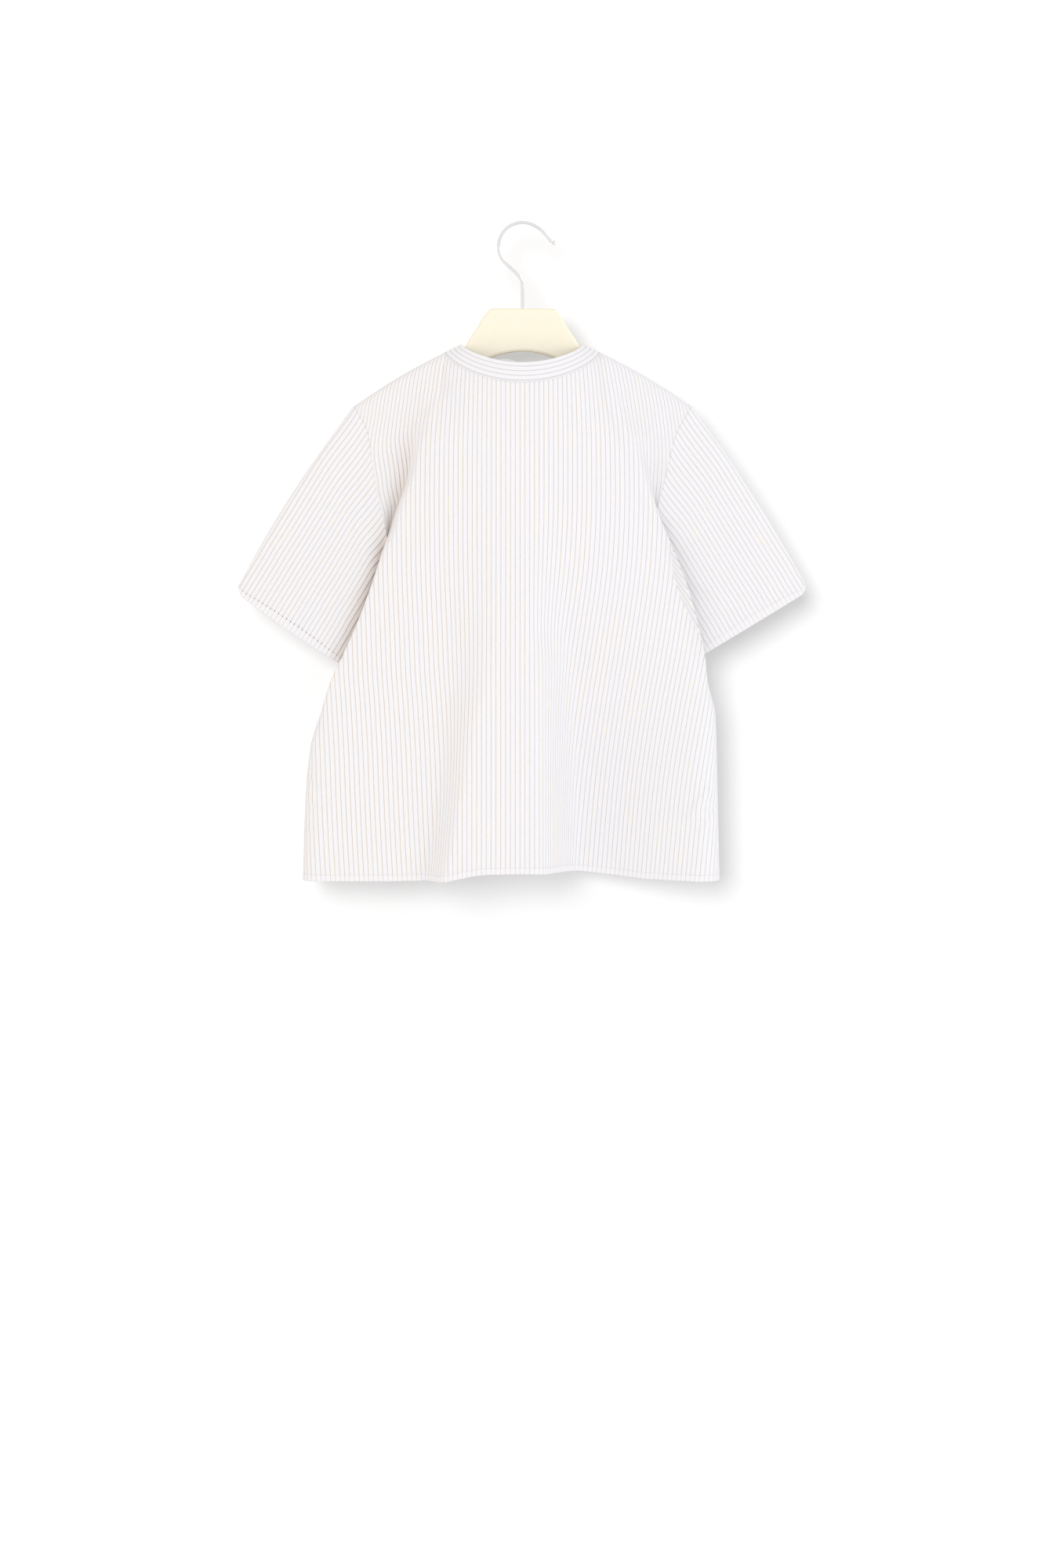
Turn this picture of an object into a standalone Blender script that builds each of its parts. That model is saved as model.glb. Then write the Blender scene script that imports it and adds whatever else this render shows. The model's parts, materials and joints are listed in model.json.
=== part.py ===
"""A child's button-up shirt with a stand collar, hanging on a flat hanger.

Metres, +Z up. The origin is where a rail carries the hook, at the top of its inner side. The back of
the shirt faces -Y and its buttoned front faces +Y, so +X is the right side of the back view.

In the tables, down is the distance below the origin, across the distance from the middle, and out the
distance of the cloth from the hanger's plane: towards -Y on the back and towards +Y on the front.
Each cloth piece is a loft: a grid of points through its sections, given a wall of even thickness.
"""

from collections import namedtuple
from math import cos, pi, radians, sin, sqrt

import bmesh
import bpy
import numpy as np
from mathutils import Vector

CLOTH = 0.0012  # thickness of every cloth wall
SEAM_GAP = 0.0003  # between two pieces that are sewn together
SLEEVE_GAP = 0.0005  # the sleeve's share of the armhole's gap, where the panel folds back over it
LEAST_MITRE = 0.65  # keeps the mitre of a sharp fold within twice the cloth's thickness
BACK, FRONT = -1, 1  # the way along Y that each side of the shirt faces
LEFT, RIGHT = -1, 1  # the way along X to the wearer's left and right side

# Neck and shoulders
NECK_HALF = 0.0710  # middle to the point where shoulder and neck seams meet
NECK_POINT_DOWN = 0.1185
NECK_DIP = {BACK: 0.0269, FRONT: 0.0685}  # neck seam's fall from the neck point to its middle
NECK_DIP_POWER = {BACK: 1.5, FRONT: 2.0}
NECK_OUT = {BACK: 0.0280, FRONT: 0.0250}
TIP_HALF = 0.1555  # middle to the shoulder's tip
TIP_DOWN = 0.1685
SHOULDER_BOW = 0.0025  # rise of the shoulder line over a straight one, where the hanger's arm ends
RIDGE_HEIGHT = 0.0070  # height in which the shoulders round over the hanger
HEM_DOWN = 0.6005

# Rows of the panels: fall of the armhole and side seams below the shoulder's tip
ARMHOLE_DROPS = (0, 0.0025, 0.0080, 0.020, 0.034, 0.049, 0.064, 0.079, 0.094, 0.106, 0.114, 0.122, 0.131)
SIDE_DROPS = (0.1405, 0.151, 0.164, 0.180, 0.198, 0.217, 0.237, 0.253, 0.271, 0.294, 0.318, 0.342)
LOW_DROPS = (0.368, 0.398, HEM_DOWN - TIP_DOWN)
UNDERARM_ROW = len(ARMHOLE_DROPS)
ROLL_CELLS = 7  # cells from the flat of a panel out to its armhole or side seam

UNDER_LIFT = 1.6  # rise of a side fold's underside over the sleeve, for each metre that it overhangs
LEAST_LIFT = 0.0045
LIFT_START = 0.0080  # the fold is this far short of the seam where its underside starts to rise

# Armhole seams, then side seams
Seam = namedtuple("Seam", "down across back_out front_out")
SEAMS = {
    LEFT: (
        Seam(0.1685, 0.1555, 0.0080, 0.0080),
        Seam(0.1912, 0.1429, 0.0085, 0.0085),
        Seam(0.2210, 0.1379, 0.0095, 0.0095),
        Seam(0.2412, 0.1343, 0.0100, 0.0100),
        Seam(0.2758, 0.1271, 0.0065, 0.0070),
        Seam(0.2910, 0.1243, 0.0046, 0.0050),
        Seam(0.3040, 0.1236, 0.0024, 0.0026),
        Seam(0.3090, 0.1235, 0, 0),
        Seam(0.3300, 0.1265, 0, 0),
        Seam(0.3700, 0.1410, 0, 0),
        Seam(0.4040, 0.1555, 0, 0),
        Seam(0.4350, 0.1700, 0, 0),
        Seam(0.4640, 0.1835, 0, 0),
        Seam(0.5000, 0.1920, 0, 0),
        Seam(0.5400, 0.1950, 0, 0),
        Seam(0.6034, 0.1970, 0, 0),
    ),
    RIGHT: (
        Seam(0.1685, 0.1555, 0.0080, 0.0080),
        Seam(0.1973, 0.1398, 0.0085, 0.0085),
        Seam(0.2196, 0.1346, 0.0095, 0.0095),
        Seam(0.2462, 0.1278, 0.0095, 0.0100),
        Seam(0.2700, 0.1225, 0.0065, 0.0070),
        Seam(0.2900, 0.1216, 0.0046, 0.0050),
        Seam(0.3040, 0.1215, 0.0024, 0.0026),
        Seam(0.3090, 0.1215, 0, 0),
        Seam(0.3300, 0.1255, 0, 0),
        Seam(0.3700, 0.1418, 0, 0),
        Seam(0.4000, 0.1535, 0, 0),
        Seam(0.4350, 0.1665, 0, 0),
        Seam(0.4640, 0.1725, 0, 0),
        Seam(0.5200, 0.1745, 0, 0),
        Seam(0.6034, 0.1765, 0, 0),
    ),
}

# The long fold at each side of a panel: where its edge stands, how far inside that the flat begins,
# and how sharply it turns down to the armhole
Fold = namedtuple("Fold", "down across inset pinch")
FOLDS = {
    (BACK, LEFT): (
        Fold(0.1185, 0.0850, 0.0140, 0),
        Fold(0.1757, 0.0895, 0.0140, 0.002),
        Fold(0.2038, 0.0990, 0.0140, 0.004),
        Fold(0.2326, 0.1035, 0.0140, 0.006),
        Fold(0.2570, 0.1120, 0.0150, 0.008),
        Fold(0.2714, 0.1177, 0.0160, 0.003),
        Fold(0.2844, 0.1215, 0.0160, 0),
        Fold(0.2988, 0.1268, 0.0160, 0),
        Fold(0.3348, 0.1386, 0.0170, 0),
        Fold(0.3686, 0.1516, 0.0180, 0),
        Fold(0.4032, 0.1674, 0.0180, 0),
        Fold(0.4205, 0.1753, 0.0180, 0),
        Fold(0.4493, 0.1840, 0.0180, 0),
        Fold(0.4780, 0.1926, 0.0180, 0),
        Fold(0.5213, 0.1969, 0.0180, 0),
        Fold(0.6034, 0.1998, 0.0180, 0),
    ),
    (BACK, RIGHT): (
        Fold(0.1185, 0.0850, 0.0140, 0),
        Fold(0.1685, 0.0925, 0.0140, 0.001),
        Fold(0.2045, 0.1069, 0.0150, 0.003),
        Fold(0.2400, 0.1160, 0.0150, 0.004),
        Fold(0.2635, 0.1228, 0.0160, 0.002),
        Fold(0.2786, 0.1285, 0.0160, 0),
        Fold(0.3060, 0.1400, 0.0170, 0),
        Fold(0.3535, 0.1559, 0.0180, 0),
        Fold(0.3960, 0.1660, 0.0180, 0),
        Fold(0.4205, 0.1688, 0.0180, 0),
        Fold(0.4493, 0.1753, 0.0180, 0),
        Fold(0.5213, 0.1772, 0.0180, 0),
        Fold(0.6034, 0.1789, 0.0180, 0),
    ),
    (FRONT, LEFT): (
        Fold(0.1185, 0.0850, 0.0140, 0),
        Fold(0.2038, 0.1000, 0.0150, 0.003),
        Fold(0.2714, 0.1160, 0.0160, 0.003),
        Fold(0.3090, 0.1250, 0.0160, 0),
        Fold(0.3686, 0.1460, 0.0180, 0),
        Fold(0.4205, 0.1680, 0.0180, 0),
        Fold(0.4780, 0.1905, 0.0180, 0),
        Fold(0.6034, 0.1985, 0.0180, 0),
    ),
    (FRONT, RIGHT): (
        Fold(0.1185, 0.0850, 0.0140, 0),
        Fold(0.2045, 0.1040, 0.0150, 0.003),
        Fold(0.2635, 0.1150, 0.0160, 0.002),
        Fold(0.3060, 0.1230, 0.0160, 0),
        Fold(0.3686, 0.1450, 0.0180, 0),
        Fold(0.4205, 0.1650, 0.0180, 0),
        Fold(0.4780, 0.1750, 0.0180, 0),
        Fold(0.6034, 0.1775, 0.0180, 0),
    ),
}

# The back between its side folds: side is how far out it stands next to them, dome how much further in
# the middle. Low down it steps out over left_step at left_x, back in over right_step at right_x, and
# comes out again over tail towards the right side fold.
Drape = namedtuple("Drape", "down side dome left_x left_step right_x right_step tail")
BACK_DRAPE = (
    Drape(0.1185, 0.0080, 0.0180, -0.045, 0, 0.018, 0, 0),
    Drape(0.1470, 0.0130, 0.0150, -0.045, 0, 0.018, 0, 0),
    Drape(0.2040, 0.0220, 0.0070, -0.045, 0, 0.018, 0, 0),
    Drape(0.2400, 0.0255, 0.0035, -0.045, 0, 0.018, 0.001, 0),
    Drape(0.2980, 0.0275, 0, -0.045, 0.005, 0.018, 0.011, 0.005),
    Drape(0.3700, 0.0265, 0, -0.046, 0.016, 0.022, 0.029, 0.012),
    Drape(0.4060, 0.0260, 0, -0.048, 0.019, 0.029, 0.037, 0.020),
    Drape(0.4420, 0.0255, 0, -0.055, 0.022, 0.030, 0.045, 0.028),
    Drape(0.5140, 0.0240, 0, -0.064, 0.028, 0.032, 0.057, 0.038),
    Drape(0.6034, 0.0240, 0, -0.081, 0.032, 0.033, 0.066, 0.044),
)
LEFT_STEP_WIDTH = 0.030
RIGHT_STEP_WIDTH = 0.042
# Break lines of the back's columns, as fractions of the flat's width, and the cells between them
BACK_BREAKS = (0, 0.256, 0.345, 0.558, 0.690, 1)
BACK_CELLS = (6, 4, 5, 5, 6)

# The fronts between their side folds, and the soft vertical folds that they hang in
FrontDrape = namedtuple("FrontDrape", "down side dome")
FRONT_DRAPE = (
    FrontDrape(0.1185, 0.0080, 0.0160),
    FrontDrape(0.1870, 0.0140, 0.0110),
    FrontDrape(0.2500, 0.0180, 0.0060),
    FrontDrape(0.3200, 0.0200, 0.0030),
    FrontDrape(0.6034, 0.0220, 0),
)
Crease = namedtuple("Crease", "top_x hem_x half_width height start_down")
FRONT_CREASES = (
    Crease(-0.088, -0.112, 0.034, 0.016, 0.300),
    Crease(-0.040, -0.050, 0.030, -0.007, 0.330),
    Crease(0.046, 0.058, 0.042, 0.018, 0.290),
    Crease(0.104, 0.124, 0.030, -0.006, 0.350),
)
FRONT_CELLS = 8
NECK_TURN = radians(80)  # turn of the neck seam from its point to the lap
LAP = 0.0120  # each front passes the middle by this much
PLACKET_CELLS = 3
LAP_LIFT = CLOTH + SEAM_GAP  # how far the upper front is lifted over the lower one
LAP_RAMP = (0.040, 0.014)  # distances from the middle between which it lifts

# The hem's height along the back, which folds draw up
HemPoint = namedtuple("HemPoint", "x rise")
BACK_HEM = (
    HemPoint(-0.120, 0),
    HemPoint(-0.085, 0.001),
    HemPoint(-0.030, 0.0095),
    HemPoint(0.005, 0.0100),
    HemPoint(0.055, 0.0045),
    HemPoint(0.110, 0),
)

# Sleeves, from the armhole to the hem's outer and inner corners
SleeveEnd = namedtuple("SleeveEnd", "outer_across outer_down inner_across inner_down sag")
SLEEVE_ENDS = {
    LEFT: SleeveEnd(0.2632, 0.3365, 0.1605, 0.4065, 0.0030),
    RIGHT: SleeveEnd(0.2625, 0.3360, 0.1585, 0.3990, 0.0005),
}
SLEEVE_HEM_OUT = 0.0090
SLEEVE_BOW = 0.0040  # how far the sleeve's upper edge bows over a straight line
UNDERARM_BOW = 0.0070  # how far its lower edge bows away from the body, just under the arm
SLEEVE_CELLS = 12

# Collar band
BAND_HEIGHT = 0.0176
BAND_CELLS = 3
BAND_LEAN = {BACK: radians(10), FRONT: radians(20)}  # towards the neck, at the middle
BAND_SIDE_LEAN = radians(64)

BUTTON_DOWNS = (0.2480, 0.3140, 0.3800, 0.4460, 0.5120)
BUTTON_RADIUS = 0.0052
BUTTON_HEIGHT = 0.0022
BUTTON_RIM = 0.0009  # width of the raised rim
BUTTON_DISH = 0.0006  # depth of the dish inside it
BUTTON_STEPS = 14

# Hanger
HANGER_THICKNESS = 0.0100
HANGER_ROUNDING = 0.0025
HANGER_TOP_HALF = 0.0317
HANGER_TOP_DOWN = 0.0778
HANGER_UNDER_DOWN = 0.1171
HANGER_ARCH_RADIUS = 0.0690
HANGER_ARCH_START = -62.3  # degrees, where the arch meets the arm's underside
HANGER_CORNER = 0.0040  # radius of its top corners
HangerPoint = namedtuple("HangerPoint", "across down")
HANGER_SIDE = (  # its side from the top corner down to the arm
    HangerPoint(0.0355, 0.0850),
    HangerPoint(0.0403, 0.0936),
    HangerPoint(0.0470, 0.1037),
    HangerPoint(0.0516, 0.1113),
    HangerPoint(0.0562, 0.1180),
    HangerPoint(0.0630, 0.1212),
    HangerPoint(0.0695, 0.1235),
)
ARM_START = 0.0760
ARM_END = 0.1290
ARM_END_RADIUS = 0.0085
ARM_END_DOWN = 0.1625
ARM_DROP = 0.0040  # the arm's top under the shoulder line
HOOK_RADIUS = 0.0220
WIRE_RADIUS = 0.00145
STEM_DEPTH = 0.0140  # the hook's stem in the hanger's bore
STEM_BORE = 0.0018
BALL_RADIUS = 0.0019
BALL_SLANT = 0.5  # the hook's end runs down at this slope
HookPoint = namedtuple("HookPoint", "x z")
HOOK_STEM = (  # up the stem and along its slant to the round part
    HookPoint(0, -0.0700),
    HookPoint(0, -0.0590),
    HookPoint(-0.0006, -0.0525),
    HookPoint(-0.0030, -0.0480),
    HookPoint(-0.0075, -0.0435),
    HookPoint(-0.0125, -0.0390),
)
HOOK_ARC = (218, 62)  # degrees, from where to where the hook is round
HOOK_END = (  # from the round part out to the ball
    HookPoint(0.0162, -0.0046),
    HookPoint(0.0206, -0.0090),
    HookPoint(0.0240, -0.0132),
    HookPoint(0.0264, -0.0158),
)
BALL_MIDDLE = HookPoint(0.0288, -0.0172)


def eased(rows, name, at):
    """The table's column as a smooth curve over down (or x), which never passes the rows' own values."""
    knots = np.array([row[0] for row in rows])
    values = np.array([getattr(row, name) for row in rows], float)
    step = np.diff(knots)
    rise = np.diff(values) / step
    product = rise[:-1] * rise[1:]
    total = rise[:-1] + rise[1:]
    inner = np.where(product > 0, 2 * product / np.where(total == 0, 1, total), 0)
    slope = np.concatenate([rise[:1], inner, rise[-1:]])
    i = np.clip(np.searchsorted(knots, at) - 1, 0, len(step) - 1)
    t = np.clip((at - knots[i]) / step[i], 0, 1)
    return (
        values[i] * (1 + 2 * t) * (1 - t) ** 2
        + values[i + 1] * (3 - 2 * t) * t**2
        + step[i] * t * (1 - t) * (slope[i] * (1 - t) - slope[i + 1] * t)
    )


def smooth(t):
    """From 0 at t = 0 to 1 at t = 1, level at both ends."""
    t = np.clip(t, 0, 1)
    return t * t * (3 - 2 * t)


def unit(vectors):
    return vectors / np.maximum(np.linalg.norm(vectors, axis=-1, keepdims=True), 1e-12)


# ---- Heights of the top and bottom edges of the panels


def neck_cos(x):
    """1 in the middle of the neck and 0 at its points."""
    return np.sqrt(np.clip(1 - (x / NECK_HALF) ** 2, 0, 1))


def top_down(face, x):
    """The neck seam between the neck points, and the shoulder line outside them."""
    t = np.clip((np.abs(x) - NECK_HALF) / (TIP_HALF - NECK_HALF), 0, 1)
    shoulder = (TIP_DOWN - NECK_POINT_DOWN) * t - SHOULDER_BOW * np.sin(pi * t)
    return NECK_POINT_DOWN + NECK_DIP[face] * neck_cos(x) ** NECK_DIP_POWER[face] + shoulder


def hem_rise(face, x):
    return eased(BACK_HEM, "rise", x) if face == BACK else 0 * x


# ---- How far out the cloth hangs


def back_out(x, down, fraction):
    """The back's flat: fraction is 0 at its left side fold and 1 at its right one."""
    drape = {name: eased(BACK_DRAPE, name, down) for name in Drape._fields[1:]}
    left = smooth((x - drape["left_x"]) / LEFT_STEP_WIDTH + 0.5)
    right = smooth((x - drape["right_x"]) / RIGHT_STEP_WIDTH + 0.5)
    tail = smooth((x - drape["right_x"] - RIGHT_STEP_WIDTH / 2) / 0.130) ** 0.9
    dome = drape["dome"] * (1 - (2 * fraction - 1) ** 2)
    steps = drape["left_step"] * left - drape["right_step"] * right + drape["tail"] * tail
    return drape["side"] + dome + steps


def front_out(x, down, fraction):
    """The fronts' flat: a shallow dome, and creases that deepen towards the hem."""
    out = eased(FRONT_DRAPE, "side", down)
    out = out + eased(FRONT_DRAPE, "dome", down) * (1 - (2 * fraction - 1) ** 2)
    for crease in FRONT_CREASES:
        fall = (down - crease.start_down) / (HEM_DOWN - crease.start_down)
        middle = crease.top_x + (crease.hem_x - crease.top_x) * np.clip(fall, 0, 1)
        bell = np.clip(1 - ((x - middle) / crease.half_width) ** 2, 0, 1) ** 2
        out = out + crease.height * smooth(fall) * bell
    return out


OUT = {BACK: back_out, FRONT: front_out}


def rounded_over(face, x, down, out):
    """The top of the panel: it leaves the shoulder seam upright and rounds down over the hanger."""
    top_out = NECK_OUT[face] * neck_cos(x[:1])
    height = RIDGE_HEIGHT + 0.020 * neck_cos(x[:1])
    t = np.clip((down - down[:1]) / height, 0, 1)
    return top_out + (out - top_out) * np.sqrt(1 - (1 - t) ** 2)


# ---- Grids of points: rows run down the garment, columns from -X to +X

DROPS = np.array(ARMHOLE_DROPS + SIDE_DROPS + LOW_DROPS)
FALL = (DROPS / DROPS[-1])[:, None]
SLANT = (1 - FALL) ** 7  # rows follow the neck and shoulders at first, and soon level out


def row_down(face, x_top, x):
    level = TIP_DOWN + DROPS[:, None]
    return level + (top_down(face, x_top) - TIP_DOWN) * SLANT - hem_rise(face, x) * FALL**4


def flat_edge(face, side):
    """Across of the line where the flat ends and the side fold begins, row by row."""
    down = TIP_DOWN + DROPS + (NECK_POINT_DOWN - TIP_DOWN) * SLANT[:, 0]
    rows = FOLDS[face, side]
    return side * (eased(rows, "across", down) - eased(rows, "inset", down))


def flat(face, columns, neck_columns, left, right):
    """The part of a panel between two lines: columns are fractions of the way, along the neck and below."""
    mixed = neck_columns + (columns - neck_columns) * smooth(FALL / 0.3)
    x = left[:, None] + (right - left)[:, None] * mixed
    down = row_down(face, x[:1], x)
    ends = flat_edge(face, LEFT)[:, None], flat_edge(face, RIGHT)[:, None]
    fraction = (x - ends[0]) / (ends[1] - ends[0])
    out = rounded_over(face, x, down, OUT[face](x, down, fraction))
    return x, down, out


def roll(face, side):
    """From the flat over the side fold to the armhole or side seam: each row is a Bezier curve."""
    t = np.linspace(0, 1, ROLL_CELLS + 1)
    rows = FOLDS[face, side]
    edge_down = TIP_DOWN + DROPS
    start = side * flat_edge(face, side)
    start_down = edge_down + (NECK_POINT_DOWN - TIP_DOWN) * SLANT[:, 0]
    end = eased(SEAMS[side], "across", edge_down)
    middle_down = (start_down + edge_down) / 2
    reach = 4 / 3 * eased(rows, "across", middle_down) - (start + end) / 6
    pinch = eased(rows, "pinch", middle_down)
    weights = np.array([(1 - t) ** 3, 3 * t * (1 - t) ** 2, 3 * t**2 * (1 - t), t**3])
    x = side * np.stack([start, reach + pinch, reach - pinch, end], axis=1) @ weights
    down = row_down(face, x[:1], x)
    fraction = np.full_like(x[:, :1], 0 if side == LEFT else 1)
    flat_out = OUT[face](x[:, :1], down[:, :1], fraction)
    seam_name = "back_out" if face == BACK else "front_out"
    seam_out = eased(SEAMS[side], seam_name, edge_down)[:, None]
    overhang = (eased(rows, "across", edge_down) - end)[:, None]
    out = seam_out + (flat_out - seam_out) * (weights[0] + weights[1])
    lift = UNDER_LIFT * np.clip(overhang, 0, None) + LEAST_LIFT * smooth(1 + overhang / LIFT_START)
    out = out + lift * weights[2]
    return x, down, rounded_over(face, x, down, out)


def joined(face, parts):
    """Puts strips of columns side by side, each sharing its last column with the next one's first."""
    cut = [[grid[:, (i > 0) :] for grid in part] for i, part in enumerate(parts)]
    x, down, out = (np.concatenate(grids, axis=1) for grids in zip(*cut))
    return np.stack([x, face * out, -down], axis=2)


def back_points():
    columns = np.concatenate(
        [
            np.linspace(a, b, n, endpoint=False)
            for a, b, n in zip(BACK_BREAKS, BACK_BREAKS[1:], BACK_CELLS)
        ]
        + [np.array([1.0])]
    )
    neck_columns = (1 - np.cos(pi * columns)) / 2
    middle = flat(BACK, columns, neck_columns, flat_edge(BACK, LEFT), flat_edge(BACK, RIGHT))
    left = [grid[:, ::-1] for grid in roll(BACK, LEFT)]
    return joined(BACK, [left, middle, roll(BACK, RIGHT)])


def front_points(side):
    """One front, from its side seam to just past the middle. The left one is lifted where it laps."""
    edge = flat_edge(FRONT, side)
    near_middle = np.full_like(edge, side * LAP)
    columns = np.linspace(0, 1, FRONT_CELLS + 1)
    neck_columns = (1 - np.cos(NECK_TURN * columns)) / (1 - cos(NECK_TURN))
    lap_columns = np.linspace(0, 1, PLACKET_CELLS + 1)
    parts = [
        [grid[:, ::-1] for grid in roll(FRONT, side)],
        flat(FRONT, columns, neck_columns, edge, near_middle),
        flat(FRONT, lap_columns, lap_columns, near_middle, -near_middle),
    ]
    if side == RIGHT:
        return joined(FRONT, parts)[:, ::-1]
    far, near = LAP_RAMP
    lifted = [(x, down, out + LAP_LIFT * smooth((x + far) / (far - near))) for x, down, out in parts]
    return joined(FRONT, lifted)


def sleeve_points(side, back_seam, front_seam):
    """Rings from the armhole to the flattened oval of the hem. back_seam and front_seam run down."""
    armhole = np.concatenate([back_seam, front_seam[-2:0:-1]])
    length = np.concatenate([[0], np.cumsum(np.linalg.norm(np.diff(back_seam, axis=0), axis=1))])
    half_turn = pi * length / length[-1]
    turn = np.concatenate([half_turn, 2 * pi - half_turn[-2:0:-1]])[:, None]
    end = SLEEVE_ENDS[side]
    outer = np.array([side * end.outer_across, 0, -end.outer_down])
    inner = np.array([side * end.inner_across, 0, -end.inner_down])
    behind = np.array([0, -SLEEVE_HEM_OUT, -end.sag])
    before = np.array([0, SLEEVE_HEM_OUT, -end.sag])
    swell = np.where(turn <= pi, behind, before) * np.abs(np.sin(turn))
    hem = (outer + inner) / 2 + (outer - inner) / 2 * np.cos(turn) + swell
    edge_way = unit(outer - armhole[0])
    up = np.array([edge_way[2], 0, -edge_way[0]]) * -side
    along = np.linspace(0, 1, SLEEVE_CELLS + 1)[:, None, None]
    bow = SLEEVE_BOW * np.sin(pi * along) * np.clip(np.cos(turn), 0, 1) * up
    clear = unit(np.array([side, 0, 0.4])) * UNDERARM_BOW * np.sqrt(along) * (1 - along)
    return armhole + (hem - armhole) * along + bow + clear * np.clip(-np.cos(turn), 0, 1)


def band_points(neck_seam):
    """The stand collar: it rises from the neck seam and leans in, most of all over the shoulders."""
    side_part = np.clip(np.abs(neck_seam[:, 0]) / NECK_HALF, 0, 1)
    lean = np.where(neck_seam[:, 1] < 0, BAND_LEAN[BACK], BAND_LEAN[FRONT])
    lean = (lean + (BAND_SIDE_LEAN - lean) * side_part**2)[:, None]
    depth = np.where(neck_seam[:, 1] < 0, NECK_OUT[BACK], NECK_OUT[FRONT])
    away = np.stack([neck_seam[:, 0] / NECK_HALF, 0.35 * neck_seam[:, 1] / depth, 0 * depth], axis=1)
    rise = np.cos(lean) * np.array([0, 0, 1]) - np.sin(lean) * unit(away)
    steps = np.linspace(0, BAND_HEIGHT, BAND_CELLS + 1)[:, None, None]
    return neck_seam + rise * steps


# ---- Walls


def normals(points, ring=False):
    """Unit normals of a grid, to the left of its rows as seen along its columns."""
    if ring:
        wrapped = np.concatenate([points[:, -1:], points, points[:, :1]], axis=1)
        across = np.gradient(wrapped, axis=1)[:, 1:-1]
    else:
        across = np.gradient(points, axis=1)
    return unit(np.cross(across, np.gradient(points, axis=0)))


def share(*edges):
    """Gives pieces that meet at a seam one direction there, longer where they meet at a fold, so that
    their walls are mitred."""
    total = unit(sum(edges))
    slant = sum((total * edge).sum(axis=-1, keepdims=True) for edge in edges) / len(edges)
    for edge in edges:
        edge[:] = total / np.maximum(slant, LEAST_MITRE)


def share_corner(back, front, other):
    """The same where the seam between back and front runs into a third piece."""
    total = unit(unit(back + front) + other)
    for corner in (back, front, other):
        corner[:] = total


def drawn_back(edge, inside, way, distance):
    """Moves one edge of a grid off its seam line, square to its mitre."""
    inwards = inside - edge
    inwards = inwards - unit(way) * (unit(way) * inwards).sum(axis=-1, keepdims=True)
    edge += distance * unit(inwards)


def wall_faces(rows, columns, ring):
    """Triangles of a wall: its outer grid, its inner grid turned round, and the strips between."""
    index = np.arange(rows * columns).reshape(rows, columns)
    if ring:
        index = np.concatenate([index, index[:, :1]], axis=1)
    a, b, c, d = index[:-1, :-1], index[:-1, 1:], index[1:, 1:], index[1:, :-1]
    outer = np.stack([a, d, c, a, c, b], axis=-1).reshape(-1, 3)
    rims = [index[0], index[-1, ::-1]]
    if not ring:
        rims = [np.concatenate([index[0], index[1:, -1], index[-1, -2::-1], index[-2::-1, 0]])]
    total = rows * columns
    strips = [
        np.stack([r[:-1], r[1:], r[1:] + total, r[:-1], r[1:] + total, r[:-1] + total], axis=-1)
        for r in rims
    ]
    return np.concatenate([outer, outer[:, ::-1] + total] + [s.reshape(-1, 3) for s in strips])


def material(name, colour, roughness, metallic=0.0):
    made = bpy.data.materials.new(name)
    made.use_nodes = True
    shader = made.node_tree.nodes["Principled BSDF"]
    shader.inputs["Base Color"].default_value = (*colour, 1)
    shader.inputs["Roughness"].default_value = roughness
    shader.inputs["Metallic"].default_value = metallic
    made.diffuse_color = (*colour, 1)
    return made


def placed(name, mesh, finish, collection):
    """An object of this mesh, smooth but for its sharp edges, in a collection."""
    mesh.materials.clear()
    mesh.materials.append(finish)
    mesh.shade_smooth()
    mesh.set_sharp_from_angle(angle=radians(40))
    made = bpy.data.objects.new(name, mesh)
    collection.objects.link(made)
    return made


def cloth(name, points, directions, finish, collection, ring=False):
    """A wall of the cloth's thickness about a grid of points."""
    outer = points + directions * CLOTH / 2
    inner = points - directions * CLOTH / 2
    vertices = np.concatenate([outer.reshape(-1, 3), inner.reshape(-1, 3)])
    faces = wall_faces(points.shape[0], points.shape[1], ring)
    if (directions * normals(points, ring)).sum() > 0:
        faces = faces[:, ::-1]
    mesh = bpy.data.meshes.new(name)
    mesh.from_pydata(vertices.tolist(), [], faces.tolist())
    mesh.update()
    return placed(name, mesh, finish, collection)


def share_seams(back, fronts, sleeves, band):
    """Mitres every seam: shoulders, side seams, armholes, the neck, and where three pieces meet."""
    row, roll_end = UNDERARM_ROW, ROLL_CELLS
    count = fronts[LEFT].shape[1] - roll_end  # columns of the band over each front
    views = {LEFT: back, RIGHT: back[:, ::-1]}
    bands = {LEFT: band, RIGHT: band[:, ::-1]}
    for side in (LEFT, RIGHT):
        panel, sleeve, collar = views[side], sleeves[side], bands[side]
        front = fronts[side] if side == LEFT else fronts[side][:, ::-1]
        share(panel[0, :roll_end], front[0, :roll_end])
        share(panel[row:, 0], front[row:, 0])
        share(panel[1:row, 0], sleeve[0, 1:row])
        share(front[1:row, 0], sleeve[0, : row : -1])
        share(front[0, roll_end + 1 :], collar[0, count - 2 :: -1])
        share_corner(panel[0, 0], front[0, 0], sleeve[0, 0])
        share_corner(panel[row, 0], front[row, 0], sleeve[0, row])
        share_corner(panel[0, roll_end], front[0, roll_end], collar[0, count - 1])
    inner = slice(roll_end + 1, -roll_end - 1)
    share(back[0, inner], band[0, count:-count])


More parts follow.
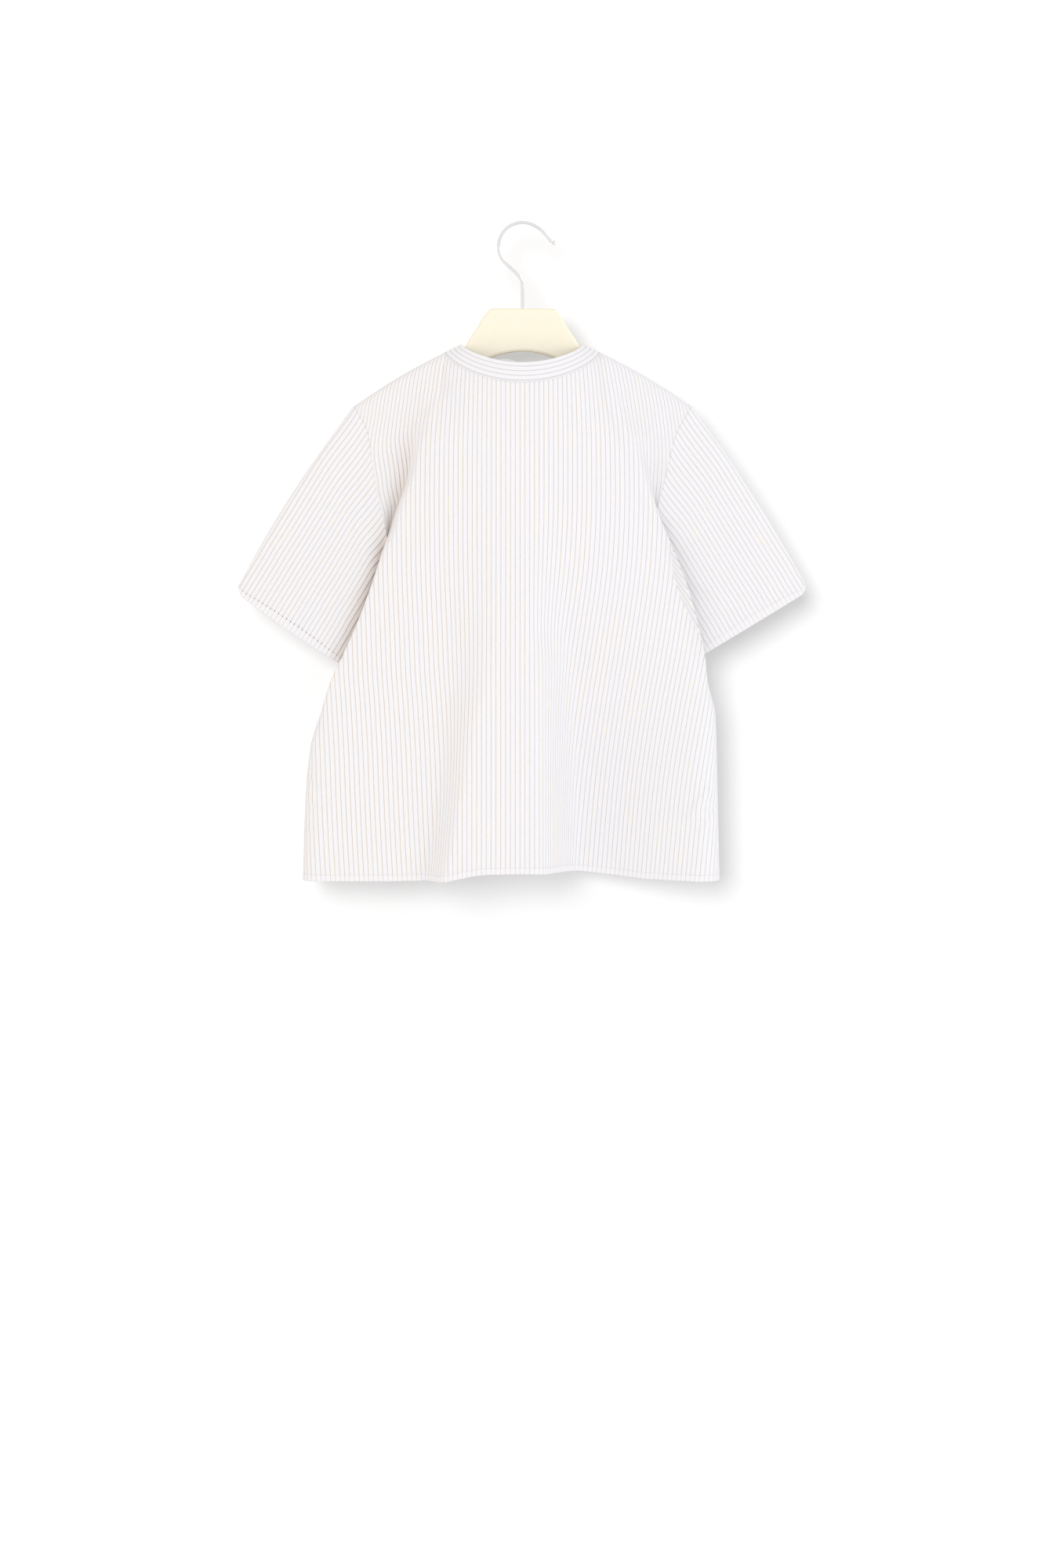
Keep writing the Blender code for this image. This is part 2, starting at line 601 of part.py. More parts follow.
def make_cloth(collection):
    """All the cloth pieces. Returns the placket's and the band's grids and directions."""
    finish = material("striped cotton", (0.90, 0.89, 0.90), 0.85)
    back = back_points()
    fronts = {side: front_points(side) for side in (LEFT, RIGHT)}
    top = slice(None, UNDERARM_ROW + 1)
    sleeves = {
        LEFT: sleeve_points(LEFT, back[top, 0], fronts[LEFT][top, 0]),
        RIGHT: sleeve_points(RIGHT, back[top, -1], fronts[RIGHT][top, -1]),
    }
    left_neck = fronts[LEFT][0, : ROLL_CELLS - 1 : -1]
    right_neck = fronts[RIGHT][0, -ROLL_CELLS - 1 :: -1]
    band = band_points(np.concatenate([left_neck, back[0, ROLL_CELLS + 1 : -ROLL_CELLS - 1], right_neck]))

    back_way = -normals(back)
    front_ways = {side: normals(fronts[side]) for side in fronts}
    sleeve_ways = {side: side * normals(sleeves[side], ring=True) for side in sleeves}
    band_way = normals(band)
    share_seams(back_way, front_ways, sleeve_ways, band_way)

    placket = (fronts[LEFT] + front_ways[LEFT] * LAP_LIFT)[:, -PLACKET_CELLS - 1 :]
    placket_way = front_ways[LEFT][:, -PLACKET_CELLS - 1 :]

    pieces = [(back, back_way), (band, band_way)]
    for grids, ways in ((fronts, front_ways), (sleeves, sleeve_ways)):
        pieces += [(grids[side], ways[side]) for side in (LEFT, RIGHT)]
    for points, ways in pieces:
        own_share = SLEEVE_GAP if points is sleeves[LEFT] or points is sleeves[RIGHT] else SEAM_GAP / 2
        drawn_back(points[0], points[1], ways[0], own_share)
    sides = [(*pieces[0], 0, 1), (*pieces[0], -1, -2), (*pieces[2], 0, 1), (*pieces[3], -1, -2)]
    for points, ways, seam, inside in sides:
        drawn_back(points[:, seam], points[:, inside], ways[:, seam], SEAM_GAP / 2)

    cloth("back", back, back_way, finish, collection)
    cloth("collar_band", band, band_way, finish, collection)
    cloth("placket", placket, placket_way, finish, collection)
    for side, word in ((LEFT, "left"), (RIGHT, "right")):
        cloth(f"front_{word}", fronts[side], front_ways[side], finish, collection)
        cloth(f"sleeve_{word}", sleeves[side], sleeve_ways[side], finish, collection, ring=True)
    return placket, placket_way, band, band_way


# ---- Buttons


def button_mesh():
    """A disc with a raised rim, turned about Z from its profile."""
    profile = (
        (0, BUTTON_HEIGHT - BUTTON_DISH),
        (BUTTON_RADIUS - 2 * BUTTON_RIM, BUTTON_HEIGHT - BUTTON_DISH),
        (BUTTON_RADIUS - BUTTON_RIM, BUTTON_HEIGHT),
        (BUTTON_RADIUS, BUTTON_HEIGHT * 0.6),
        (BUTTON_RADIUS * 0.8, 0),
        (0, 0),
    )
    mesh = bpy.data.meshes.new("button")
    chain = [(i, i + 1) for i in range(len(profile) - 1)]
    mesh.from_pydata([(r, 0, z) for r, z in profile], chain, [])
    return mesh


def make_button(name, mesh, place, way, finish, collection):
    button = placed(name, mesh, finish, collection)
    turned = button.modifiers.new("turned", "SCREW")
    turned.steps = turned.render_steps = BUTTON_STEPS
    turned.use_merge_vertices = True
    turned.merge_threshold = 0.00001
    button.location = place + way * (CLOTH / 2 + SEAM_GAP)
    button.rotation_mode = "QUATERNION"
    button.rotation_quaternion = Vector(way).to_track_quat("Z", "Y")
    return button


def make_buttons(placket, placket_way, band, band_way, collection):
    """One button on the collar band's lap, and one at each of the placket's heights."""
    finish = material("pearly button", (0.93, 0.92, 0.90), 0.3)
    mesh = button_mesh()
    middle, ways = placket[:, 1:3].mean(axis=1), placket_way[:, 1:3].mean(axis=1)
    places = [(band[1:3, 1:3].mean(axis=(0, 1)), band_way[1:3, 1:3].mean(axis=(0, 1)))]
    for down in BUTTON_DOWNS:
        at = [np.interp(down, -middle[:, 2], grid[:, axis]) for grid in (middle, ways) for axis in range(3)]
        places.append((np.array(at[:3]), np.array(at[3:])))
    for number, (place, way) in enumerate(places, 1):
        make_button(f"button_{number}", mesh, place, unit(way), finish, collection)


# ---- Hanger


def arc(middle, radius, start, end, count):
    """Points on an arc in the hanger's plane, angles in degrees from +X, anticlockwise."""
    turns = [radians(start + (end - start) * i / (count - 1)) for i in range(count)]
    return [(middle[0] + radius * cos(turn), middle[1] + radius * sin(turn)) for turn in turns]


def hanger_half():
    """Right half of the hanger's outline, (across, down), from the middle of its top to its arch."""
    corner = HANGER_TOP_HALF - HANGER_CORNER
    outline = [(corner, HANGER_TOP_DOWN)]
    outline += arc((corner, HANGER_TOP_DOWN + HANGER_CORNER), HANGER_CORNER, -60, -15, 3)
    outline += [(point.across, point.down) for point in HANGER_SIDE]
    end_across = ARM_END - ARM_END_RADIUS
    for across in np.linspace(ARM_START, end_across, 5):
        outline.append((across, float(top_down(FRONT, np.array(across))) + ARM_DROP))
    outline += arc((end_across, ARM_END_DOWN), ARM_END_RADIUS, -45, 80, 5)
    arch_middle = (0, HANGER_UNDER_DOWN + HANGER_ARCH_RADIUS)
    return outline + arc(arch_middle, HANGER_ARCH_RADIUS, HANGER_ARCH_START, -90, 6)


def make_hanger(collection, cutters):
    finish = material("cream hanger", (0.96, 0.91, 0.76), 0.45)
    half = hanger_half()
    outline = half + [(-across, down) for across, down in half[-2::-1]]
    curve = bpy.data.curves.new("hanger outline", "CURVE")
    curve.dimensions = "2D"
    curve.fill_mode = "BOTH"
    curve.extrude = HANGER_THICKNESS / 2 - HANGER_ROUNDING
    curve.bevel_depth = HANGER_ROUNDING
    curve.bevel_resolution = 1
    curve.offset = -HANGER_ROUNDING
    spline = curve.splines.new("POLY")
    spline.points.add(len(outline) - 1)
    for point, (across, down) in zip(spline.points, outline):
        point.co = (across, -down, 0, 1)
    spline.use_cyclic_u = True
    flat_shape = bpy.data.objects.new("hanger outline", curve)
    collection.objects.link(flat_shape)
    mesh = welded_mesh(flat_shape)
    hanger = placed("hanger_body", mesh, finish, collection)
    hanger.rotation_euler.x = pi / 2

    bpy.ops.mesh.primitive_cylinder_add(vertices=16, radius=STEM_BORE, depth=2 * STEM_DEPTH)
    bore = bpy.context.object
    bore.name = "stem bore"
    bore.location.z = -HANGER_TOP_DOWN
    bore.hide_render = True
    bore.display_type = "WIRE"
    for found in list(bore.users_collection):
        found.objects.unlink(bore)
    cutters.objects.link(bore)
    cut = hanger.modifiers.new("stem bore", "BOOLEAN")
    cut.object = bore
    return hanger


def welded_mesh(curve_object):
    """The curve's mesh with its caps welded on. The curve object is removed."""
    graph = bpy.context.evaluated_depsgraph_get()
    mesh = bpy.data.meshes.new_from_object(curve_object.evaluated_get(graph))
    bpy.data.objects.remove(curve_object)
    shape = bmesh.new()
    shape.from_mesh(mesh)
    bmesh.ops.remove_doubles(shape, verts=shape.verts, dist=0.00001)
    bmesh.ops.recalc_face_normals(shape, faces=shape.faces)
    shape.to_mesh(mesh)
    shape.free()
    return mesh


def hook_route():
    """(x, z, radius) along the hook: its stem, the slant, round over the top, and out to the ball."""
    stem_foot = HookPoint(0, -HANGER_TOP_DOWN - STEM_DEPTH + SEAM_GAP)
    middle = (0, WIRE_RADIUS - HOOK_RADIUS)
    route = [stem_foot, *HOOK_STEM, *arc(middle, HOOK_RADIUS, *HOOK_ARC, 18), *HOOK_END]
    reach = BALL_RADIUS / sqrt(1 + BALL_SLANT**2)
    turns = np.linspace(-0.7 * pi / 2, pi / 2, 7)[:-1]
    ball = [
        (BALL_MIDDLE.x + reach * sin(t), BALL_MIDDLE.z - BALL_SLANT * reach * sin(t), BALL_RADIUS * cos(t))
        for t in turns
    ]
    return [(x, z, WIRE_RADIUS) for x, z in route] + ball


def make_hook(collection):
    finish = material("chrome wire", (0.80, 0.80, 0.81), 0.15, 1.0)
    curve = bpy.data.curves.new("hook", "CURVE")
    curve.dimensions = "3D"
    curve.bevel_depth = WIRE_RADIUS
    curve.bevel_resolution = 3
    curve.use_fill_caps = True
    route = hook_route()
    spline = curve.splines.new("POLY")
    spline.points.add(len(route) - 1)
    for point, (x, z, radius) in zip(spline.points, route):
        point.co = (x, 0, z, 1)
        point.radius = radius / WIRE_RADIUS
    curve.materials.append(finish)
    hook = bpy.data.objects.new("hanger_hook", curve)
    collection.objects.link(hook)
    return hook


def main():
    for found in list(bpy.data.objects):
        bpy.data.objects.remove(found)
    shirt = bpy.data.collections.new("shirt on hanger")
    cutters = bpy.data.collections.new("cutters")
    for collection in (shirt, cutters):
        bpy.context.scene.collection.children.link(collection)
    make_buttons(*make_cloth(shirt), shirt)
    make_hanger(shirt, cutters)
    make_hook(shirt)


main()
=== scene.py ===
"""A child's striped button-up shirt on a flat hanger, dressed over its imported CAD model.

Metres, +Z up. The back faces -Y, towards the camera. In the tables, down is the distance below the
origin, across the distance from the middle, and out the distance from the hanger's plane.
"""

import json
from collections import namedtuple
from math import cos, pi, radians

import bmesh
import bpy
import numpy as np
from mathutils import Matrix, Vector

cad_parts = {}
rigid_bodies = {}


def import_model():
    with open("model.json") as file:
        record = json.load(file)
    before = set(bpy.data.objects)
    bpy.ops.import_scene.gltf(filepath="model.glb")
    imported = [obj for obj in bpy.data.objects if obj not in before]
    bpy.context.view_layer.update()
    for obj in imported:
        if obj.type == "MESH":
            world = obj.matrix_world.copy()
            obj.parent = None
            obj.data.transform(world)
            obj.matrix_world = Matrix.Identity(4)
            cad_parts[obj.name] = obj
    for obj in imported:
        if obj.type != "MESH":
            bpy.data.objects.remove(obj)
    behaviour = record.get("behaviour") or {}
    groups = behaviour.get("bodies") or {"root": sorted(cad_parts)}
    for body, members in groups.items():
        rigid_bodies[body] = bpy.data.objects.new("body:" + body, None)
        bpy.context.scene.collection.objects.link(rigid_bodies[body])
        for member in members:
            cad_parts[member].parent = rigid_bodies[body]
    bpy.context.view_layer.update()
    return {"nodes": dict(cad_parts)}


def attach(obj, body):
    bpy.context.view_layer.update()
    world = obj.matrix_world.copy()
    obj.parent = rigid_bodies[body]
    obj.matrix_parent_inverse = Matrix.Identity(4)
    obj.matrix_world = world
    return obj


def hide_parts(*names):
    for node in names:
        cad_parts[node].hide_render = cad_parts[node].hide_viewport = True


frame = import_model()


# ==== Back panel
# One piece of thin plain-weave cotton from neck to hem, white with fine woven stripes of grey-brown
# yarn. It hangs from the shoulder seams over the hanger's arms, in a broad ridge left of the middle
# and a trough right of it, folds back under both arms, and ends in a narrow hem turned up and stitched.

BACK, FRONT = -1, 1
LEFT, RIGHT = -1, 1
CLOTH = 0.0008  # thickness of the shell that is seen

NECK_HALF = 0.0710
NECK_POINT_DOWN = 0.1185
NECK_DIP = {BACK: 0.0269, FRONT: 0.0685}
NECK_DIP_POWER = {BACK: 1.5, FRONT: 2.0}
NECK_OUT = {BACK: 0.0280, FRONT: 0.0250}
TIP_HALF = 0.1555
TIP_DOWN = 0.1685
SHOULDER_BOW = 0.0025
RIDGE_HEIGHT = 0.0070  # of the rounding below the shoulder seam
NECK_RIDGE = 0.020  # how much higher it is in the middle of the neck
HEM_DOWN = 0.6005
ARMHOLE_DROP = 0.131
HEM_DROP = HEM_DOWN - TIP_DOWN

Seam = namedtuple("Seam", "down across back_out front_out")
SEAMS = {
    LEFT: (
        Seam(0.1685, 0.1555, 0.0080, 0.0080),
        Seam(0.1912, 0.1429, 0.0085, 0.0085),
        Seam(0.2210, 0.1379, 0.0095, 0.0095),
        Seam(0.2412, 0.1343, 0.0100, 0.0100),
        Seam(0.2758, 0.1271, 0.0065, 0.0070),
        Seam(0.2910, 0.1243, 0.0046, 0.0050),
        Seam(0.3040, 0.1236, 0.0024, 0.0026),
        Seam(0.3090, 0.1235, 0, 0),
        Seam(0.3300, 0.1265, 0, 0),
        Seam(0.3700, 0.1410, 0, 0),
        Seam(0.4040, 0.1555, 0, 0),
        Seam(0.4350, 0.1700, 0, 0),
        Seam(0.4640, 0.1835, 0, 0),
        Seam(0.5000, 0.1920, 0, 0),
        Seam(0.5400, 0.1950, 0, 0),
        Seam(0.6034, 0.1970, 0, 0),
    ),
    RIGHT: (
        Seam(0.1685, 0.1555, 0.0080, 0.0080),
        Seam(0.1973, 0.1398, 0.0085, 0.0085),
        Seam(0.2196, 0.1346, 0.0095, 0.0095),
        Seam(0.2462, 0.1278, 0.0095, 0.0100),
        Seam(0.2700, 0.1225, 0.0065, 0.0070),
        Seam(0.2900, 0.1216, 0.0046, 0.0050),
        Seam(0.3040, 0.1215, 0.0024, 0.0026),
        Seam(0.3090, 0.1215, 0, 0),
        Seam(0.3300, 0.1255, 0, 0),
        Seam(0.3700, 0.1418, 0, 0),
        Seam(0.4000, 0.1535, 0, 0),
        Seam(0.4350, 0.1665, 0, 0),
        Seam(0.4640, 0.1725, 0, 0),
        Seam(0.5200, 0.1745, 0, 0),
        Seam(0.6034, 0.1765, 0, 0),
    ),
}

# The long fold at each side: its edge, how far inside it the flat begins, and how sharply it turns
Fold = namedtuple("Fold", "down across inset pinch")
FOLDS = {
    (BACK, LEFT): (
        Fold(0.1185, 0.0850, 0.0140, 0),
        Fold(0.1757, 0.0895, 0.0130, 0.002),
        Fold(0.2038, 0.0990, 0.0100, 0.004),
        Fold(0.2326, 0.1035, 0.0075, 0.006),
        Fold(0.2570, 0.1120, 0.0070, 0.008),
        Fold(0.2714, 0.1177, 0.0070, 0.003),
        Fold(0.2844, 0.1215, 0.0070, 0),
        Fold(0.2988, 0.1268, 0.0070, 0),
        Fold(0.3348, 0.1386, 0.0070, 0),
        Fold(0.3686, 0.1516, 0.0070, 0),
        Fold(0.4032, 0.1674, 0.0080, 0),
        Fold(0.4205, 0.1753, 0.0100, 0),
        Fold(0.4493, 0.1840, 0.0150, 0),
        Fold(0.4780, 0.1926, 0.0180, 0),
        Fold(0.5213, 0.1969, 0.0180, 0),
        Fold(0.6034, 0.1998, 0.0180, 0),
    ),
    (BACK, RIGHT): (
        Fold(0.1185, 0.0850, 0.0140, 0),
        Fold(0.1685, 0.0925, 0.0140, 0.001),
        Fold(0.2045, 0.1069, 0.0130, 0.003),
        Fold(0.2400, 0.1160, 0.0100, 0.004),
        Fold(0.2635, 0.1228, 0.0090, 0.002),
        Fold(0.2786, 0.1285, 0.0090, 0),
        Fold(0.3060, 0.1400, 0.0090, 0),
        Fold(0.3535, 0.1559, 0.0090, 0),
        Fold(0.3960, 0.1660, 0.0100, 0),
        Fold(0.4205, 0.1688, 0.0140, 0),
        Fold(0.4493, 0.1753, 0.0180, 0),
        Fold(0.5213, 0.1772, 0.0180, 0),
        Fold(0.6034, 0.1789, 0.0180, 0),
    ),
    (FRONT, LEFT): (
        Fold(0.1185, 0.0850, 0.0140, 0),
        Fold(0.2038, 0.1000, 0.0150, 0.003),
        Fold(0.2714, 0.1160, 0.0160, 0.003),
        Fold(0.3090, 0.1250, 0.0160, 0),
        Fold(0.3686, 0.1460, 0.0180, 0),
        Fold(0.4205, 0.1680, 0.0180, 0),
        Fold(0.4780, 0.1905, 0.0180, 0),
        Fold(0.6034, 0.1985, 0.0180, 0),
    ),
    (FRONT, RIGHT): (
        Fold(0.1185, 0.0850, 0.0140, 0),
        Fold(0.2045, 0.1040, 0.0150, 0.003),
        Fold(0.2635, 0.1150, 0.0160, 0.002),
        Fold(0.3060, 0.1230, 0.0160, 0),
        Fold(0.3686, 0.1450, 0.0180, 0),
        Fold(0.4205, 0.1650, 0.0180, 0),
        Fold(0.4780, 0.1750, 0.0180, 0),
        Fold(0.6034, 0.1775, 0.0180, 0),
    ),
}

# The back between its side folds: side is how far out it stands next to them, dome how much further in
# the middle. Low down it steps out over left_step at left_x, back in over right_step at right_x, and
# comes out again over tail towards the right side fold.
Drape = namedtuple("Drape", "down side dome left_x left_step right_x right_step tail")
BACK_DRAPE = (
    Drape(0.1185, 0.0080, 0.0180, -0.045, 0, 0.018, 0, 0),
    Drape(0.1470, 0.0130, 0.0150, -0.045, 0, 0.018, 0, 0),
    Drape(0.2040, 0.0220, 0.0070, -0.045, 0, 0.018, 0, 0),
    Drape(0.2400, 0.0215, 0.0070, -0.045, 0, 0.018, 0.001, 0),
    Drape(0.2980, 0.0200, 0.0070, -0.045, 0.005, 0.018, 0.011, 0.005),
    Drape(0.3700, 0.0200, 0.0060, -0.046, 0.016, 0.022, 0.029, 0.012),
    Drape(0.4060, 0.0210, 0.0045, -0.048, 0.019, 0.029, 0.037, 0.020),
    Drape(0.4420, 0.0225, 0.0020, -0.055, 0.022, 0.030, 0.045, 0.028),
    Drape(0.5140, 0.0240, 0, -0.064, 0.024, 0.032, 0.057, 0.038),
    Drape(0.6034, 0.0240, 0, -0.081, 0.028, 0.033, 0.066, 0.044),
)
StepWidth = namedtuple("StepWidth", "down width")  # the left step is soft above and sharper below
LEFT_STEP = (
    StepWidth(0.1185, 0.060),
    StepWidth(0.3300, 0.060),
    StepWidth(0.5000, 0.026),
    StepWidth(0.6034, 0.022),
)
RIGHT_STEP_WIDTH = 0.042
TAIL_WIDTH = 0.130
HemPoint = namedtuple("HemPoint", "x rise")
BACK_HEM = (
    HemPoint(-0.120, 0),
    HemPoint(-0.085, 0.001),
    HemPoint(-0.030, 0.0095),
    HemPoint(0.005, 0.0100),
    HemPoint(0.055, 0.0045),
    HemPoint(0.110, 0),
)
Tuck = namedtuple("Tuck", "down depth")  # how deep the cloth dips beside a side fold
TUCKS = {
    LEFT: (
        Tuck(0.1685, 0),
        Tuck(0.2040, 0.002),
        Tuck(0.2400, 0.009),
        Tuck(0.2800, 0.012),
        Tuck(0.3095, 0.001),
        Tuck(0.6034, 0),
    ),
    RIGHT: (
        Tuck(0.1685, 0),
        Tuck(0.2040, 0.001),
        Tuck(0.2500, 0.005),
        Tuck(0.2800, 0.006),
        Tuck(0.3095, 0.001),
        Tuck(0.6034, 0),
    ),
}
DEEPEST_TUCK = 0.012
TUCK_PULL = 9 / 4  # the curve's third weight is 4/9 at most, and this makes the dip as deep as stated
SIDE_LIFT = 1.6  # how the underside of a side fold clears the sleeve
LEAST_LIFT = 0.0045
LIFT_START = 0.0080

# Small creases: soft ridges (height over 0) or troughs (under 0) along a line between two points
Wrinkle = namedtuple("Wrinkle", "x down to_x to_down width height")
BACK_WRINKLES = (
    Wrinkle(-0.1990, 0.503, -0.1760, 0.516, 0.0045, 0.0016),
    Wrinkle(-0.1990, 0.527, -0.1800, 0.534, 0.0040, 0.0014),
    Wrinkle(-0.2000, 0.550, -0.1800, 0.560, 0.0045, 0.0014),
    Wrinkle(0.1500, 0.545, 0.1740, 0.512, 0.0060, 0.0022),
    Wrinkle(0.1560, 0.556, 0.1760, 0.530, 0.0045, -0.0014),
    Wrinkle(-0.0550, 0.147, -0.0850, 0.176, 0.0090, 0.0012),
    Wrinkle(0.0780, 0.147, 0.0980, 0.200, 0.0090, 0.0012),
)

# Rows of points, as distances below the shoulder's tip: closest at the seam and in the hem
HEM_ZONE = 0.012
ROWS = np.concatenate(
    [
        np.array([0, 0.0007, 0.0015, 0.0026, 0.0040]),
        np.linspace(0.0060, ARMHOLE_DROP, 50),
        np.linspace(ARMHOLE_DROP, HEM_DROP - HEM_ZONE, 100)[1:],
        np.linspace(HEM_DROP - HEM_ZONE, HEM_DROP, 13)[1:],
    ]
)
UNDERARM = 54  # the row at the underarm
FALL = (ROWS / HEM_DROP)[:, None]
SLANT = (1 - FALL) ** 7
ROLL = 1 - np.linspace(1, 0, 27) ** 1.4
BACK_COLUMNS = np.linspace(0, 1, 121)
SEWN_COLUMNS = 9  # over which small creases fade out before a side seam
STRIPES_UPRIGHT_X = -0.019  # where the back's stripes hang straight

STRIPE_PITCH = 0.00435
HEM_WIDTH = 0.0058
STITCH = 0.0021  # from one stitch to the next


def eased(rows, name, at):
    """A table's column as a smooth curve: cubic between rows, with harmonic-mean slopes at them."""
    knots = np.array([row[0] for row in rows])
    values = np.array([getattr(row, name) for row in rows], float)
    step = np.diff(knots)
    rise = np.diff(values) / step
    product = rise[:-1] * rise[1:]
    total = rise[:-1] + rise[1:]
    inner = np.where(product > 0, 2 * product / np.where(total == 0, 1, total), 0)
    slope = np.concatenate([rise[:1], inner, rise[-1:]])
    i = np.clip(np.searchsorted(knots, at) - 1, 0, len(step) - 1)
    t = np.clip((at - knots[i]) / step[i], 0, 1)
    return (
        values[i] * (1 + 2 * t) * (1 - t) ** 2
        + values[i + 1] * (3 - 2 * t) * t**2
        + step[i] * t * (1 - t) * (slope[i] * (1 - t) - slope[i + 1] * t)
    )


def smooth(t):
    """3t² - 2t³ between 0 and 1."""
    t = np.clip(t, 0, 1)
    return t * t * (3 - 2 * t)


def unit(vectors):
    """Vectors divided by their lengths."""
    return vectors / np.maximum(np.linalg.norm(vectors, axis=-1, keepdims=True), 1e-12)


def neck_cos(x):
    """Height of a half ellipse over the neck: 1 in the middle and 0 at the neck points."""
    return np.sqrt(np.clip(1 - (x / NECK_HALF) ** 2, 0, 1))


def top_down(face, x):
    """Neck seam: the point's height plus a dip that follows neck_cos. Outside it, the shoulder line."""
    t = np.clip((np.abs(x) - NECK_HALF) / (TIP_HALF - NECK_HALF), 0, 1)
    shoulder = (TIP_DOWN - NECK_POINT_DOWN) * t - SHOULDER_BOW * np.sin(pi * t)
    return NECK_POINT_DOWN + NECK_DIP[face] * neck_cos(x) ** NECK_DIP_POWER[face] + shoulder


def back_out(x, down, fraction):
    """The back's flat: its side value, a parabola between the side folds, and smooth steps across x."""
    drape = {name: eased(BACK_DRAPE, name, down) for name in Drape._fields[1:]}
    left = smooth((x - drape["left_x"]) / eased(LEFT_STEP, "width", down) + 0.5)
    right = smooth((x - drape["right_x"]) / RIGHT_STEP_WIDTH + 0.5)
    tail = smooth((x - drape["right_x"] - RIGHT_STEP_WIDTH / 2) / TAIL_WIDTH) ** 0.9
    dome = drape["dome"] * (1 - (2 * fraction - 1) ** 2)
    steps = drape["left_step"] * left - drape["right_step"] * right + drape["tail"] * tail
    return drape["side"] + dome + steps


OUT = {BACK: back_out}


def rounded_over(face, x, down, out):
    """From the seam's own out value to the panel's over a quarter of an ellipse below the seam."""
    top_out = NECK_OUT[face] * neck_cos(x[:1])
    height = RIDGE_HEIGHT + NECK_RIDGE * neck_cos(x[:1])
    t = np.clip((down - down[:1]) / height, 0, 1)
    return top_out + (out - top_out) * np.sqrt(1 - (1 - t) ** 2)


def row_down(face, x_top, x):
    """Level rows, shifted by the neck and shoulder line at the top and by the hem's rise at the foot."""
    hem = eased(BACK_HEM, "rise", x) if face == BACK else 0 * x
    return TIP_DOWN + ROWS[:, None] + (top_down(face, x_top) - TIP_DOWN) * SLANT - hem * FALL**4


def flat_edge(face, side):
    """Where the flat ends, row by row: the fold's edge less its inset."""
    down = TIP_DOWN + ROWS + (NECK_POINT_DOWN - TIP_DOWN) * SLANT[:, 0]
    rows = FOLDS[face, side]
    return side * (eased(rows, "across", down) - eased(rows, "inset", down))


def flat(face, columns, neck_columns, left, right):
    """Between two lines: x a fraction of the way, spaced along the neck at the top and evenly below."""
    spaced = neck_columns + (columns - neck_columns) * smooth(FALL / 0.3)
    x = left[:, None] + (right - left)[:, None] * spaced
    down = row_down(face, x[:1], x)
    ends = flat_edge(face, LEFT)[:, None], flat_edge(face, RIGHT)[:, None]
    fraction = (x - ends[0]) / (ends[1] - ends[0])
    return x, down, rounded_over(face, x, down, OUT[face](x, down, fraction))


def roll(face, side):
    """Over the side fold to the seam: each row a cubic Bezier curve that reaches the fold's edge. Its
    third point is lifted clear of the sleeve, and on the back pulled in by the tuck's depth."""
    t = ROLL
    rows = FOLDS[face, side]
    edge_down = TIP_DOWN + ROWS
    start = side * flat_edge(face, side)
    start_down = edge_down + (NECK_POINT_DOWN - TIP_DOWN) * SLANT[:, 0]
    end = eased(SEAMS[side], "across", edge_down)
    middle_down = (start_down + edge_down) / 2
    reach = 4 / 3 * eased(rows, "across", middle_down) - (start + end) / 6
    pinch = eased(rows, "pinch", middle_down)
    weights = np.array([(1 - t) ** 3, 3 * t * (1 - t) ** 2, 3 * t**2 * (1 - t), t**3])
    x = side * np.stack([start, reach + pinch, reach - pinch, end], axis=1) @ weights
    down = row_down(face, x[:1], x)
    fraction = np.full_like(x[:, :1], 0 if side == LEFT else 1)
    flat_out = OUT[face](x[:, :1], down[:, :1], fraction)
    seam_out = eased(SEAMS[side], "back_out" if face == BACK else "front_out", edge_down)[:, None]
    overhang = (eased(rows, "across", edge_down) - end)[:, None]
    out = seam_out + (flat_out - seam_out) * (weights[0] + weights[1])
    lift = SIDE_LIFT * np.clip(overhang, 0, None) + LEAST_LIFT * smooth(1 + overhang / LIFT_START)
    if face == BACK:
        lift = lift - TUCK_PULL * eased(TUCKS[side], "depth", edge_down)[:, None]
    return x, down, rounded_over(face, x, down, out + lift * weights[2])


def wrinkled(x, down, out, wrinkles):
    """Adds each wrinkle: a bell across its line, (1 - d²)², that fades in and out along it."""
    for line in wrinkles:
        way = np.array([line.to_x - line.x, line.to_down - line.down])
        length = np.hypot(*way)
        along = ((x - line.x) * way[0] + (down - line.down) * way[1]) / length**2
        off = ((x - line.x) * way[1] - (down - line.down) * way[0]) / length / line.width
        fade = smooth(along / 0.35 + 0.4) * smooth((1 - along) / 0.35 + 0.4)
        out = out + line.height * fade * np.clip(1 - off**2, 0, 1) ** 2
    return out


def joined(face, parts, wrinkles=()):
    """Strips of columns side by side, each sharing its last column with the next one's first. The
    wrinkles fade out over SEWN_COLUMNS at either end, where the panel is sewn."""
    cut = [[grid[:, (i > 0) :] for grid in part] for i, part in enumerate(parts)]
    x, down, out = (np.concatenate(grids, axis=1) for grids in zip(*cut))
    column = np.arange(x.shape[1])
    free = smooth(column / SEWN_COLUMNS) * smooth(column[::-1] / SEWN_COLUMNS)
    out = out + (wrinkled(x, down, out, wrinkles) - out) * free
    return np.stack([x, face * out, -down], axis=2)


def run_across(points, start):
    """Distance along each row from column start, negative before it."""
    steps = np.linalg.norm(np.diff(points, axis=1), axis=2)
    length = np.concatenate([np.zeros((len(points), 1)), np.cumsum(steps, axis=1)], axis=1)
    return length - length[:, start : start + 1]


def run_down(points):
    """Distance along each column from the first row."""
    steps = np.linalg.norm(np.diff(points, axis=0), axis=2)
    return np.concatenate([np.zeros((1, points.shape[1])), np.cumsum(steps, axis=0)], axis=0)


